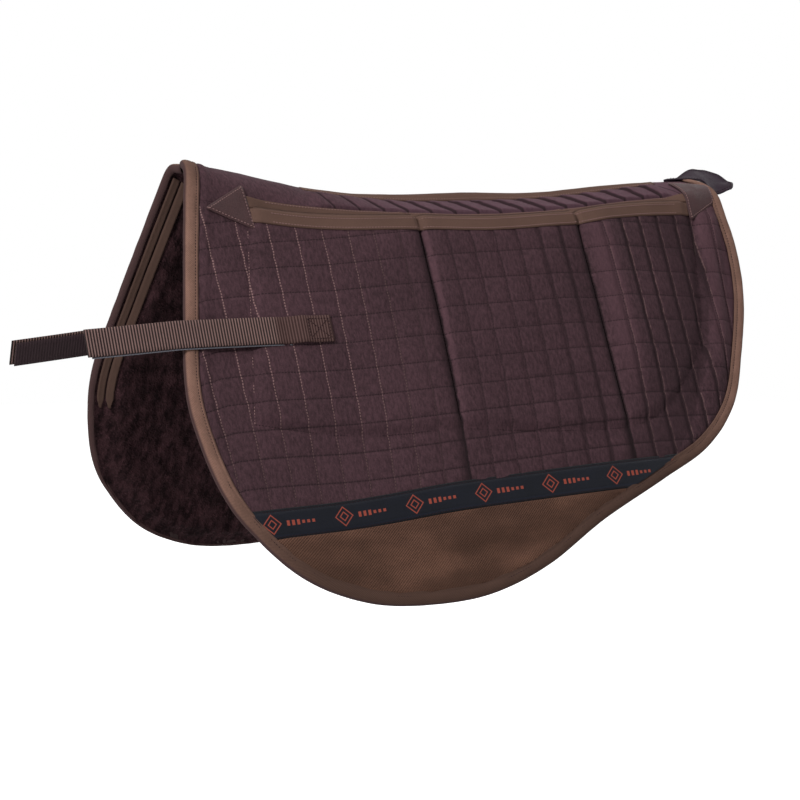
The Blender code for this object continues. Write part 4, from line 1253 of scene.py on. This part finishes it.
def build_bindings(sizes):
    """The folded binding, one piece a side from the front of the ridge to its rear."""
    total = run_length(OUTLINE_RUN)
    stations = np.linspace(0, total, 330)
    ring = np.array(BINDING_RING) * MM
    for label, side in SIDES:

        def place(t, a, h):
            low = 2.6 * MM * smooth_step((along(OUTLINE_RUN, t)[:, 1] - 0.30) / 0.14)
            x, s = along(OUTLINE_RUN, t, a + low).T
            s = np.maximum(s, 0)
            ripple = 0.4 * MM * lattice(pairs(t / (13 * MM), a / (7 * MM)), 21)
            return drape(x, side * s, h + ripple * (t > 5 * MM) * (t < total - 5 * MM))

        edge = swept(f"{label}_bound_edge", stations, ring, place, finishes()["binding"])
        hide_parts(f"{label}_edge_binding", "front_spine_binding", "rear_spine_binding")
        hang_from_spine(edge)
        row = sewn_row(OUTLINE_RUN, side, lambda x, s: -1.5 * MM + 0 * x, 12.0 * MM)
        sewing = stitches(
            f"{label}_edge_stitches", [(row, 22 * MM, total - 22 * MM)], sizes, finishes()["dark_thread"]
        )
        hang_from_spine(sewing)


def build_mouth_tapes(sizes):
    """The two tapes that bind the lips of the pocket mouth, drawn in where the dividers start."""
    section = np.array(MOUTH_TAPE_RING) * MM
    mouth = MOUTH_RUN[(MOUTH_RUN[:, 0] > -0.281) & (MOUTH_RUN[:, 0] < 0.320)]
    total = run_length(mouth)
    stations = np.linspace(0.0, total, 170)
    for label, side in SIDES:
        rows = []
        for part, way, base, wide in (("upper", -1, mouth_depth, 1.12), ("lower", 1, pocket_depth, 1.36)):

            def at(t, a, h=0.0, way=way, base=base):
                x, s = along(mouth, t).T
                s = s + way * (MOUTH_LIP + np.asarray(a))
                depth = base(x, np.maximum(s, mouth_at(x)) if way > 0 else np.minimum(s, mouth_at(x)))
                wave = 0.3 * MM * lattice(pairs(t / (23 * MM), 0 * t + way), 31)
                return drape(x, side * s, depth + h + wave)

            ring = section * (wide, 1)
            if way > 0:
                ring[:, 1] *= np.where(ring[:, 1] < -0.5 * MM, 0.4, 1)
            tape = swept(f"{label}_mouth_{part}_tape", stations, ring, at, finishes()["tape"])
            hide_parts(f"{label}_pocket_{part}_tape")
            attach(tape, f"{label}_side")
            for gap, lift in ((2.2, 2.0), (9.4 * wide, 1.85)):

                def row(t, more=0.0, at=at, gap=gap, lift=lift):
                    return at(t, gap * MM, lift * MM + more)

                rows.append((row, 0.05 * total, 0.955 * total))
        sewing = stitches(f"{label}_mouth_stitches", rows, sizes, finishes()["thread"])
        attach(sewing, f"{label}_side")


def rounded_region(points, radius, count=8):
    """A region in metres with rounded corners, from corners in mm."""
    corners = np.array(points, float) * MM
    made = []
    for before, corner, after in zip(np.roll(corners, 1, 0), corners, np.roll(corners, -1, 0)):
        ways = [other - corner for other in (before, after)]
        room = [min(radius, np.linalg.norm(way) * 0.4) for way in ways]
        start, end = (corner + way / np.linalg.norm(way) * r for way, r in zip(ways, room))
        f = np.linspace(0, 1, count)[:, None]
        made.append((1 - f) ** 2 * start + 2 * f * (1 - f) * corner + f**2 * end)
    return np.vstack(made)


def shrunk(region, distance):
    """A convex region's rim moved inwards."""
    middle = region.mean(0)
    way = np.roll(region, -1, 0) - np.roll(region, 1, 0)
    way /= np.linalg.norm(way, axis=1, keepdims=True) + 1e-12
    side = right_of(way)
    side *= np.sign(((middle - region) * side).sum(1, keepdims=True))
    return region + side * distance


def rim_row(region, gap, side, depth):
    """A row of stitches round a patch, at a gap inside its rim."""
    seam = shrunk(region, gap)
    seam = np.vstack([seam, seam[:1]])
    return sewn_row(seam, side, depth), 0, run_length(seam)


def patch_depth(x):
    """A leather patch bridges the step at the mouth, so it lies level over both lips."""
    return FLAT_OUT + 3.4 * MM * smooth_step((0.30 - np.abs(x - 0.02)) / 0.05)


def build_patches(sizes):
    """Leather over the two ends of the pocket mouth."""
    for label, side in SIDES:
        rows = []
        for part, points, radius in (("front", FRONT_PATCH, 3 * MM), ("rear", REAR_PATCH, 5 * MM)):
            region = rounded_region(points, radius)

            def depth(x, s, region=region):
                gap = nearest(region, x, s, closed=True)[1]
                curl = 0.5 * MM * lattice(pairs(x, s) / (14 * MM), 41)
                return patch_depth(x) + 2.4 * MM + 0.9 * MM * smooth_step(gap / (4 * MM)) + curl

            patch = cut_cloth(
                f"{label}_{part}_leather", region, 1.8 * MM, depth, finishes()["leather"],
                side=side, thick=1.5 * MM,
            )
            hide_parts(f"{label}_{part}_corner_patch")
            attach(patch, f"{label}_side")
            rows.append(rim_row(region, 2.6 * MM, side, lambda x, s, depth=depth: depth(x, s) + 0.1 * MM))
        sewing = stitches(f"{label}_patch_stitches", rows, sizes, finishes()["thread"])
        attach(sewing, f"{label}_side")


def ribbon_at(x, drop=0.0):
    """Where the ribbon's upper edge lies, or a line at a drop below it."""
    return s_at(RIBBON_RUN, x) + drop


def build_lower_trim(sizes):
    """The satin ribbon, and the woven wear patch that fills the corner under it."""
    rim = inset(OUTLINE_RUN, 15 * MM)
    region = rim[rim[:, 1] > 100 * MM]
    patch_rim = rim[rim[:, 1] > 380 * MM]

    def ribbon_flat(u, v):
        return u.copy(), ribbon_at(u) + v

    def ribbon_depth(x, s):
        v = s - ribbon_at(x)
        crown = 0.9 * MM * smooth_step(v / (7 * MM)) * smooth_step((RIBBON_WIDTH - v) / (7 * MM))
        seam = 0.5 * MM * (bell(v - RIBBON_SEAM, 1 * MM) + bell(v - RIBBON_WIDTH + RIBBON_SEAM, 1 * MM))
        slack = 0.7 * MM * lattice(pairs(x / (48 * MM), 0 * x), 51)
        return TRIM_IN + 0.7 * MM + crown + slack - seam

    def patch_depth_at(x, s):
        waves = 2.8 * MM * lattice(pairs(x / (85 * MM) + s / (50 * MM), s / (22 * MM)), 61)
        gap = edge_gap(x, s)
        dimple = 2.2 * MM * bell(np.hypot((x + 0.005) / 2.2, s - 0.449), 12 * MM)
        sunk = 1.8 * MM * bell(gap - 15 * MM, 4 * MM)
        high = TRIM_IN + 2.9 * MM + (waves - dimple) * smooth_step((gap - 16 * MM) / (16 * MM))
        return np.maximum(high, -2.3 * MM) - sunk

    x_stations = np.linspace(-0.36, 0.225, 200)
    low = pairs(x_stations, ribbon_at(x_stations, RIBBON_WIDTH + 0.3 * MM))
    low = low[inside(region, *low.T)]
    back = patch_rim[::-1]
    back = back[(back[:, 0] > low[0, 0]) & (back[:, 0] < low[-1, 0])]
    patch_region = np.vstack([low, back])
    for label, side in SIDES:
        ribbon = cloth(
            f"{label}_satin_ribbon", x_stations, np.linspace(0, RIBBON_WIDTH, 24), ribbon_flat,
            ribbon_depth, finishes()["ribbon"], side=side, thick=0.9 * MM, region=region,
        )
        flat = np.empty(len(ribbon.data.loops) * 2, np.float32)
        ribbon.data.uv_layers["flat"].data.foreach_get("uv", flat)
        x, s = flat.reshape(-1, 2).T
        figure = pairs(x, s - ribbon_at(x))
        ribbon.data.uv_layers.new(name="figure").data.foreach_set("uv", figure.astype(np.float32).ravel())
        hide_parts(f"{label}_trim_ribbon")
        patch = cut_cloth(
            f"{label}_lower_patch", patch_region, 4 * MM, patch_depth_at, finishes()["wear"],
            side=side, thick=1.2 * MM,
        )
        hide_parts(f"{label}_wear_patch")
        runs = []
        for drop in (RIBBON_SEAM, RIBBON_WIDTH - RIBBON_SEAM):
            xs = np.linspace(-0.33, 0.2, 160)
            run = pairs(xs, ribbon_at(xs, drop))
            run = run[inside(whole_side(19 * MM, 0, 0.33, -0.31), *run.T)]
            row = sewn_row(run, side, lambda x, s: ribbon_depth(x, s) + 0.15 * MM)
            runs.append((row, 0, run_length(run)))
        sewing = stitches(f"{label}_ribbon_stitches", runs, sizes, finishes()["dark_thread"])
        for piece in (ribbon, patch, sewing):
            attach(piece, f"{label}_side")


def build_opening_tapes(sizes):
    """Two tapes on the lining along the front edge, where the core goes in."""
    start, end = 34 * MM, 334 * MM
    stations = np.linspace(start, end, 90)
    for label, side in SIDES:
        for part, gap in (("outer", 12.6 * MM), ("inner", 22.0 * MM)):

            def place(t, a, h, gap=gap):
                taper = smooth_step((end - t) / (14 * MM))
                x, s = along(OUTLINE_RUN, t, gap + a * (0.3 + 0.7 * taper)).T
                return drape(x, side * s, lining_depth(x, s) - h)

            ring = np.array(strip_ring(4.1 * MM, -1.4 * MM, 1.6 * MM, 0.9 * MM))
            tape = swept(f"{label}_opening_{part}_binding", stations, ring, place, finishes()["inner_tape"])
            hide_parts(f"{label}_opening_{part}_tape")
            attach(tape, f"{label}_side")


def build_spine_tape(sizes):
    """The tape along the ridge, with a row of stitches near each edge."""
    ring = np.array(strip_ring(RIDGE_TAPE_HALF, -0.8 * MM, 1.0 * MM, 0.7 * MM, 8))
    stations = np.linspace(*RIDGE_TAPE_ENDS, 170)

    def place(t, a, h):
        bow = 0.3 * MM * (1 - (a / RIDGE_TAPE_HALF) ** 2) - 0.9 * MM
        wave = 0.25 * MM * lattice(pairs(t / (19 * MM), a / (8 * MM)), 71)
        return drape(t, np.where(np.abs(a) < 1e-7, 1e-7, a), TRIM_IN + h + bow + wave)

    tape = swept("ridge_tape", stations, ring, place, finishes()["tape"])
    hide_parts("spine_tape")
    rows = []
    for gap in (-7.6 * MM, 7.6 * MM):

        def row(t, lift=0.0, gap=gap):
            return drape(t, gap + 0 * t, TRIM_IN + 0.35 * MM + lift)

        rows.append((row, RIDGE_TAPE_ENDS[0] + 4 * MM, RIDGE_TAPE_ENDS[1] - 4 * MM))
    sewing = stitches("ridge_stitches", rows, sizes, finishes()["thread"])
    for piece in (tape, sewing):
        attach(piece, "spine")


def strap_frame(side):
    """Start, way forward, way across (down) and outward way of one strap."""
    slope = STRAP_SLOPES[side]
    x, s = (np.array([v * MM]) for v in STRAP_STARTS[side])
    origin, out = surface(x, side * s)[0], outward(x, side * s)[0]
    ahead = surface(x - MM, side * s)[0] - origin
    ahead -= out * ahead.dot(out)
    ahead /= np.linalg.norm(ahead)
    down = np.cross(out, ahead)
    down *= -np.sign(down[2])
    way = ahead * math.cos(slope) + down * math.sin(slope)
    cross = down * math.cos(slope) - ahead * math.sin(slope)
    return origin, way, cross, out


def build_straps(sizes):
    """Ribbed webbing with grip tape behind it: one piece to the fold, one past it."""
    fold = STRAP_FREE
    for label, side in SIDES:
        origin, way, cross, out = strap_frame(side)
        tip_way = way * math.cos(TIP_DROOP) + cross * math.sin(TIP_DROOP)
        tip = STRAP_TIPS[side]

        def centre(t):
            """The strap's line, which turns a little past the fold."""
            past = np.maximum(t - fold, 0)[:, None]
            return origin + way * np.minimum(t, fold)[:, None] + tip_way * past

        def lift(t):
            hump = 2.4 * MM * bell(t + 13 * MM, 8 * MM) - 1.2 * MM * bell(t - 8 * MM, 8 * MM)
            return 2.3 * MM + hump + 0.5 * MM * np.sin(t / 0.045) * smooth_step(t / 0.05)

        def web(t, a, h):
            ribs = 0.28 * MM * np.cos(2 * math.pi * t / sizes.rib) * np.where(np.abs(a) < 15 * MM, 1, 0.3)
            high = np.where(h > 0.5 * MM, h + ribs, h - ribs * 0.6)
            return centre(t) + cross * a[:, None] + out * (lift(t) + high)[:, None]

        def tape(t, a, h):
            return centre(t) + cross * (a + 2.4 * MM)[:, None] + out * (lift(t) - 1.7 * MM + h)[:, None]

        ring = np.array(strip_ring(STRAP_WIDTH / 2, -0.1 * MM, 1.6 * MM, 0.7 * MM, 8))
        thin = np.array(strip_ring(14.6 * MM, 0.0, 1.4 * MM, 0.4 * MM, 6))
        step = sizes.rib / 6
        hinge = [tuple(origin + way * t + out * 2.6 * MM) for t in (-2 * MM, 6 * MM)]
        crease = [tuple(origin + way * t + out * 2.6 * MM) for t in (fold - 7 * MM, fold + 5 * MM)]
        parts = (
            ("webbing", web, ring, -STRAP_SEWN, fold, hinge, ("side", "strap"), "webbing"),
            ("grip_backing", tape, thin, 3 * MM, fold, hinge, ("side", "strap"), "grip"),
            ("webbing_end", web, ring, fold, fold + tip, crease, ("strap", "strap_tip"), "webbing"),
            (
                "grip_backing_end", tape, thin, fold, fold + tip - 5 * MM, crease, ("strap", "strap_tip"),
                "grip",
            ),
        )
        nodes = {
            "webbing": ("strap_sewn_end", "strap_webbing"),
            "grip_backing": ("strap_grip_tape",),
            "webbing_end": ("strap_tip_webbing",),
            "grip_backing_end": ("strap_tip_grip_tape",),
        }
        for part, place, section, first, last, bend, bodies, finish in parts:
            count = int((last - first) / (step if finish == "webbing" else 3 * step)) + 2
            piece = swept(
                f"{label}_{part}", np.linspace(first, last, count), section, place, finishes()[finish]
            )
            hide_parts(*(f"{label}_{node}" for node in nodes[part]))
            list(bend)
            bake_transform(piece)

        def seam(start, end):
            """A row of stitches between two (t, a) points on the webbing."""
            (t0, a0), (t1, a1) = start, end
            length = math.hypot(t1 - t0, a1 - a0)

            def place(d, more=0.0):
                t, a = (p + (q - p) * d / length for p, q in ((t0, t1), (a0, a1)))
                return centre(t) + cross * a[:, None] + out * (lift(t) + 1.85 * MM + more)[:, None]

            return place, 0.0, length

        high, left, right = 11.5 * MM, -45 * MM, -19 * MM
        box = [(left, -high), (right, -high), (right, high), (left, high), (left, -high)]
        rows = [seam(a, b) for a, b in zip(box, box[1:])] + [seam(box[0], box[2]), seam(box[1], box[3])]
        sewing = stitches(f"{label}_strap_stitches", rows, sizes, finishes()["dark_thread"])
        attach(sewing, f"{label}_side")
        end = fold + tip - 16 * MM
        row = seam((end, -13 * MM), (end, 13 * MM))
        sewing = stitches(f"{label}_strap_end_stitches", [row], sizes, finishes()["dark_thread"])
        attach(sewing, f"{label}_strap_tip")


def build_rear_tab(sizes):
    """The leather tab sewn over the rear end of the spine."""
    region = rounded_region(REAR_TAB, 3 * MM)

    def depth(x, s):
        gap = nearest(region, x, s, closed=True)[1]
        past = np.where(s > 0, smooth_step((x - 0.342) / 0.038), smooth_step((x - 0.362) / 0.02))
        lean = 15 * MM * np.clip(s / (20 * MM), -1, 1) * past
        near = (s < 0) * smooth_step(-s / (12 * MM))
        drop = 3 * MM * smooth_step((x - 0.362) / 0.03) - 5 * MM * smooth_step((x - 0.388) / 0.022) * near
        return 0.2 * MM + lean - drop - 1.0 * MM * smooth_step((gap - 3.4 * MM) / (1.5 * MM))

    tab = cut_cloth("leather_tab", region, 1.9 * MM, depth, finishes()["dark_leather"], thick=2.2 * MM)
    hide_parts("rear_tab_base", "rear_tab_flap")
    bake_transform(tab)
    row = rim_row(region, 3.2 * MM, 1, lambda x, s: depth(x, s) + 0.15 * MM)
    sewing = stitches("tab_stitches", [row], sizes, finishes()["dark_thread"])
    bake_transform(sewing)


def build_shims(sizes):
    """Felt shims with rounded corners, in the places of the frame's."""
    first, second = (smooth_run(points, 60) for points in DIVIDERS)
    bounds = [(FRONT_RUN, first), (first, second), (second, REAR_RUN)]
    for label, side in SIDES:
        for (name, deep), (front, rear) in zip(SHIM_DEPTHS.items(), bounds):
            x0 = max(front[0, 0], front[-1, 0]) + SHIM_GAP
            x1 = min(rear[0, 0], rear[-1, 0]) - SHIM_GAP
            xs = np.linspace(x0, x1, 9)
            top = pairs(xs, mouth_at(xs) + SHIM_TOP)
            low = pairs(xs, s_at(BOTTOM_RUN, xs) - SHIM_GAP)
            region = rounded_region(np.vstack([top, low[::-1]]) / MM, 9 * MM)
            shim = cut_cloth(
                f"{label}_{name}_felt_shim", region, 6 * MM, lambda x, s, deep=deep: 0 * x - deep,
                finishes()["felt"], side=side, thick=2.2 * MM,
            )
            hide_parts(f"{label}_{name}_shim")
            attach(shim, f"{label}_{name}_shim_body")


def build_pocket_sewing(sizes):
    """The rows of stitches that bound and divide the pockets."""
    for label, side in SIDES:

        def on_cover(x, s):
            return cover_depth(x, s, sizes) + 0.25 * MM

        light = [(sewn_row(FRONT_RUN, side, on_cover), 0.022, run_length(FRONT_RUN))]
        dark = []
        for run, start in ((BOTTOM_RUN, 0.0), (REAR_RUN, 0.02), *((r, 0.02) for r in DIVIDER_RUNS)):
            dark.append((sewn_row(run, side, on_cover), start, run_length(run)))
        for part, rows, finish in (("front", light, "thread"), ("pocket", dark, "dark_thread")):
            sewing = stitches(f"{label}_{part}_seam_stitches", rows, sizes, finishes()[finish])
            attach(sewing, f"{label}_side")


def build_pocket_backings(sizes):
    """The plain cloth behind the pockets."""
    region = whole_side(9 * MM, 36 * MM, 0.33, -0.32, low=40 * MM)

    def depth(x, s):
        return np.minimum(-6.6 * MM, mouth_depth(x, s) - 2.6 * MM) + 0 * x

    for label, side in SIDES:
        cloth_behind = cut_cloth(
            f"{label}_backing_cloth", region, 8 * MM, depth, finishes()["backing"],
            side=side, thick=0.7 * MM,
        )
        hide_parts(f"{label}_pocket_backing")
        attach(cloth_behind, f"{label}_side")


# The stage


def build_stage():
    """The camera, the white room, the pale floor and the lamps."""
    scene = bpy.context.scene
    scene.view_settings.view_transform = "Standard"
    camera = bpy.data.objects.new("camera", bpy.data.cameras.new("camera"))
    scene.collection.objects.link(camera)
    camera.location = CAMERA_PLACE
    camera.rotation_euler = [math.radians(angle) for angle in CAMERA_TURN]
    camera.data.lens, camera.data.sensor_width = CAMERA_LENS, 36.0
    scene.camera = camera

    world = bpy.data.worlds.new("white room")
    world.use_nodes = True
    scene.world = world
    t = Tree(world.node_tree)
    back = world.node_tree.nodes["Background"]
    rays = t.values(t.node("ShaderNodeLightPath"))
    seen = t.most(rays["Is Camera Ray"], rays["Is Glossy Ray"])
    seen = t.most(seen, rays["Is Transmission Ray"])
    t.feed(back.inputs["Color"], (*WHITE, 1.0))
    t.feed(back.inputs["Strength"], seen * 0.7 + 0.3)

    bm = bmesh.new()
    bmesh.ops.create_circle(bm, cap_ends=True, radius=FLOOR_RADIUS, segments=64)
    bmesh.ops.translate(bm, verts=bm.verts[:], vec=(0, 0, FLOOR_HEIGHT))
    t = Finish("pale floor", 0.9, 0.2)
    grain = t.noise(t.place(), 3.0, 2.0)
    t.feed(t.shader["Base Color"], t.mix(grain, shaded(WHITE, 0.84), shaded(WHITE, 0.87)))
    rays = t.values(t.node("ShaderNodeLightPath"))
    t.feed(t.shader["Emission Color"], (*WHITE, 1.0))
    t.feed(t.shader["Emission Strength"], rays["Is Camera Ray"] * 0.85)
    object_of("floor", mesh_of("floor", bm), t.material)

    for name, (place, size, power) in LAMPS.items():
        data = bpy.data.lights.new(name, "AREA")
        data.shape, data.size, data.energy = "DISK", size, power
        lamp = bpy.data.objects.new(name, data)
        scene.collection.objects.link(lamp)
        lamp.location = place
        lamp.rotation_euler = (Vector(LAMP_AIM) - Vector(place)).to_track_quat("-Z", "Y").to_euler()


# Operators and panel


class SADDLEPAD_OT_covers(bpy.types.Operator):
    """Build the quilted covers of both sides."""

    bl_idname = "saddlepad.covers"
    bl_label = "Quilted Covers"

    def execute(self, context):
        build_covers(context.scene.saddle_pad_sizes)
        return {"FINISHED"}


class SADDLEPAD_OT_lining(bpy.types.Operator):
    """Build the felt core and the fleece lining."""

    bl_idname = "saddlepad.lining"
    bl_label = "Core and Fleece"

    def execute(self, context):
        build_lining(context.scene.saddle_pad_sizes)
        return {"FINISHED"}


class SADDLEPAD_OT_bindings(bpy.types.Operator):
    """Build the binding round the edges."""

    bl_idname = "saddlepad.bindings"
    bl_label = "Edge Binding"

    def execute(self, context):
        build_bindings(context.scene.saddle_pad_sizes)
        return {"FINISHED"}


class SADDLEPAD_OT_mouth_tapes(bpy.types.Operator):
    """Build the tapes of the pocket mouths."""

    bl_idname = "saddlepad.mouth_tapes"
    bl_label = "Mouth Tapes"

    def execute(self, context):
        build_mouth_tapes(context.scene.saddle_pad_sizes)
        return {"FINISHED"}


class SADDLEPAD_OT_patches(bpy.types.Operator):
    """Build the leather corner patches."""

    bl_idname = "saddlepad.patches"
    bl_label = "Leather Patches"

    def execute(self, context):
        build_patches(context.scene.saddle_pad_sizes)
        return {"FINISHED"}


class SADDLEPAD_OT_lower_trim(bpy.types.Operator):
    """Build the ribbon and wear patch."""

    bl_idname = "saddlepad.lower_trim"
    bl_label = "Ribbon and Wear Patch"

    def execute(self, context):
        build_lower_trim(context.scene.saddle_pad_sizes)
        return {"FINISHED"}


class SADDLEPAD_OT_opening_tapes(bpy.types.Operator):
    """Build the tapes of the lining's opening."""

    bl_idname = "saddlepad.opening_tapes"
    bl_label = "Opening Tapes"

    def execute(self, context):
        build_opening_tapes(context.scene.saddle_pad_sizes)
        return {"FINISHED"}


class SADDLEPAD_OT_spine_tape(bpy.types.Operator):
    """Build the tape along the ridge."""

    bl_idname = "saddlepad.spine_tape"
    bl_label = "Spine Tape"

    def execute(self, context):
        build_spine_tape(context.scene.saddle_pad_sizes)
        return {"FINISHED"}


class SADDLEPAD_OT_straps(bpy.types.Operator):
    """Build both straps with their grip tapes."""

    bl_idname = "saddlepad.straps"
    bl_label = "Straps"

    def execute(self, context):
        build_straps(context.scene.saddle_pad_sizes)
        return {"FINISHED"}


class SADDLEPAD_OT_rear_tab(bpy.types.Operator):
    """Build the leather tab at the rear."""

    bl_idname = "saddlepad.rear_tab"
    bl_label = "Rear Tab"

    def execute(self, context):
        build_rear_tab(context.scene.saddle_pad_sizes)
        return {"FINISHED"}


class SADDLEPAD_OT_shims(bpy.types.Operator):
    """Build the felt shims in their pockets."""

    bl_idname = "saddlepad.shims"
    bl_label = "Shims"

    def execute(self, context):
        build_shims(context.scene.saddle_pad_sizes)
        return {"FINISHED"}


class SADDLEPAD_OT_pocket_sewing(bpy.types.Operator):
    """Sew the seams of the pockets."""

    bl_idname = "saddlepad.pocket_sewing"
    bl_label = "Pocket Sewing"

    def execute(self, context):
        build_pocket_sewing(context.scene.saddle_pad_sizes)
        return {"FINISHED"}


class SADDLEPAD_OT_backings(bpy.types.Operator):
    """Build the cloth behind the pockets."""

    bl_idname = "saddlepad.backings"
    bl_label = "Pocket Backings"

    def execute(self, context):
        build_pocket_backings(context.scene.saddle_pad_sizes)
        return {"FINISHED"}


class SADDLEPAD_OT_stage(bpy.types.Operator):
    """Set up the floor, lamps and camera."""

    bl_idname = "saddlepad.stage"
    bl_label = "Stage"

    def execute(self, context):
        build_stage()
        return {"FINISHED"}


OPERATORS = (
    SADDLEPAD_OT_covers,
    SADDLEPAD_OT_lining,
    SADDLEPAD_OT_bindings,
    SADDLEPAD_OT_mouth_tapes,
    SADDLEPAD_OT_patches,
    SADDLEPAD_OT_lower_trim,
    SADDLEPAD_OT_opening_tapes,
    SADDLEPAD_OT_spine_tape,
    SADDLEPAD_OT_straps,
    SADDLEPAD_OT_rear_tab,
    SADDLEPAD_OT_shims,
    SADDLEPAD_OT_pocket_sewing,
    SADDLEPAD_OT_backings,
    SADDLEPAD_OT_stage,
)


class SADDLEPAD_PT_pieces(bpy.types.Panel):
    """Lists the pad's settings and pieces."""

    bl_idname = "SADDLEPAD_PT_pieces"
    bl_label = "Saddle Pad"
    bl_space_type = "VIEW_3D"
    bl_region_type = "UI"
    bl_category = "Saddle Pad"

    def draw(self, context):
        for settings in (context.scene.saddle_pad_sizes, context.scene.saddle_pad_colours):
            for key in type(settings).__annotations__:
                self.layout.prop(settings, key)
        for each in OPERATORS:
            self.layout.operator(each.bl_idname)


CLASSES = [SaddlePadSizes, SaddlePadColours, *OPERATORS, SADDLEPAD_PT_pieces]


def register():
    """Add the classes and the scene's settings."""
    for each in CLASSES:
        bpy.utils.register_class(each)
    bpy.types.Scene.saddle_pad_sizes = PointerProperty(type=SaddlePadSizes)
    bpy.types.Scene.saddle_pad_colours = PointerProperty(type=SaddlePadColours)


def unregister():
    """Take them away again."""
    del bpy.types.Scene.saddle_pad_colours
    del bpy.types.Scene.saddle_pad_sizes
    for each in reversed(CLASSES):
        bpy.utils.unregister_class(each)


def main():
    """Build the pad and its stage."""
    register()
    for each in OPERATORS:
        group, name = each.bl_idname.split(".")
        getattr(getattr(bpy.ops, group), name)()


if __name__ == "__main__":
    main()
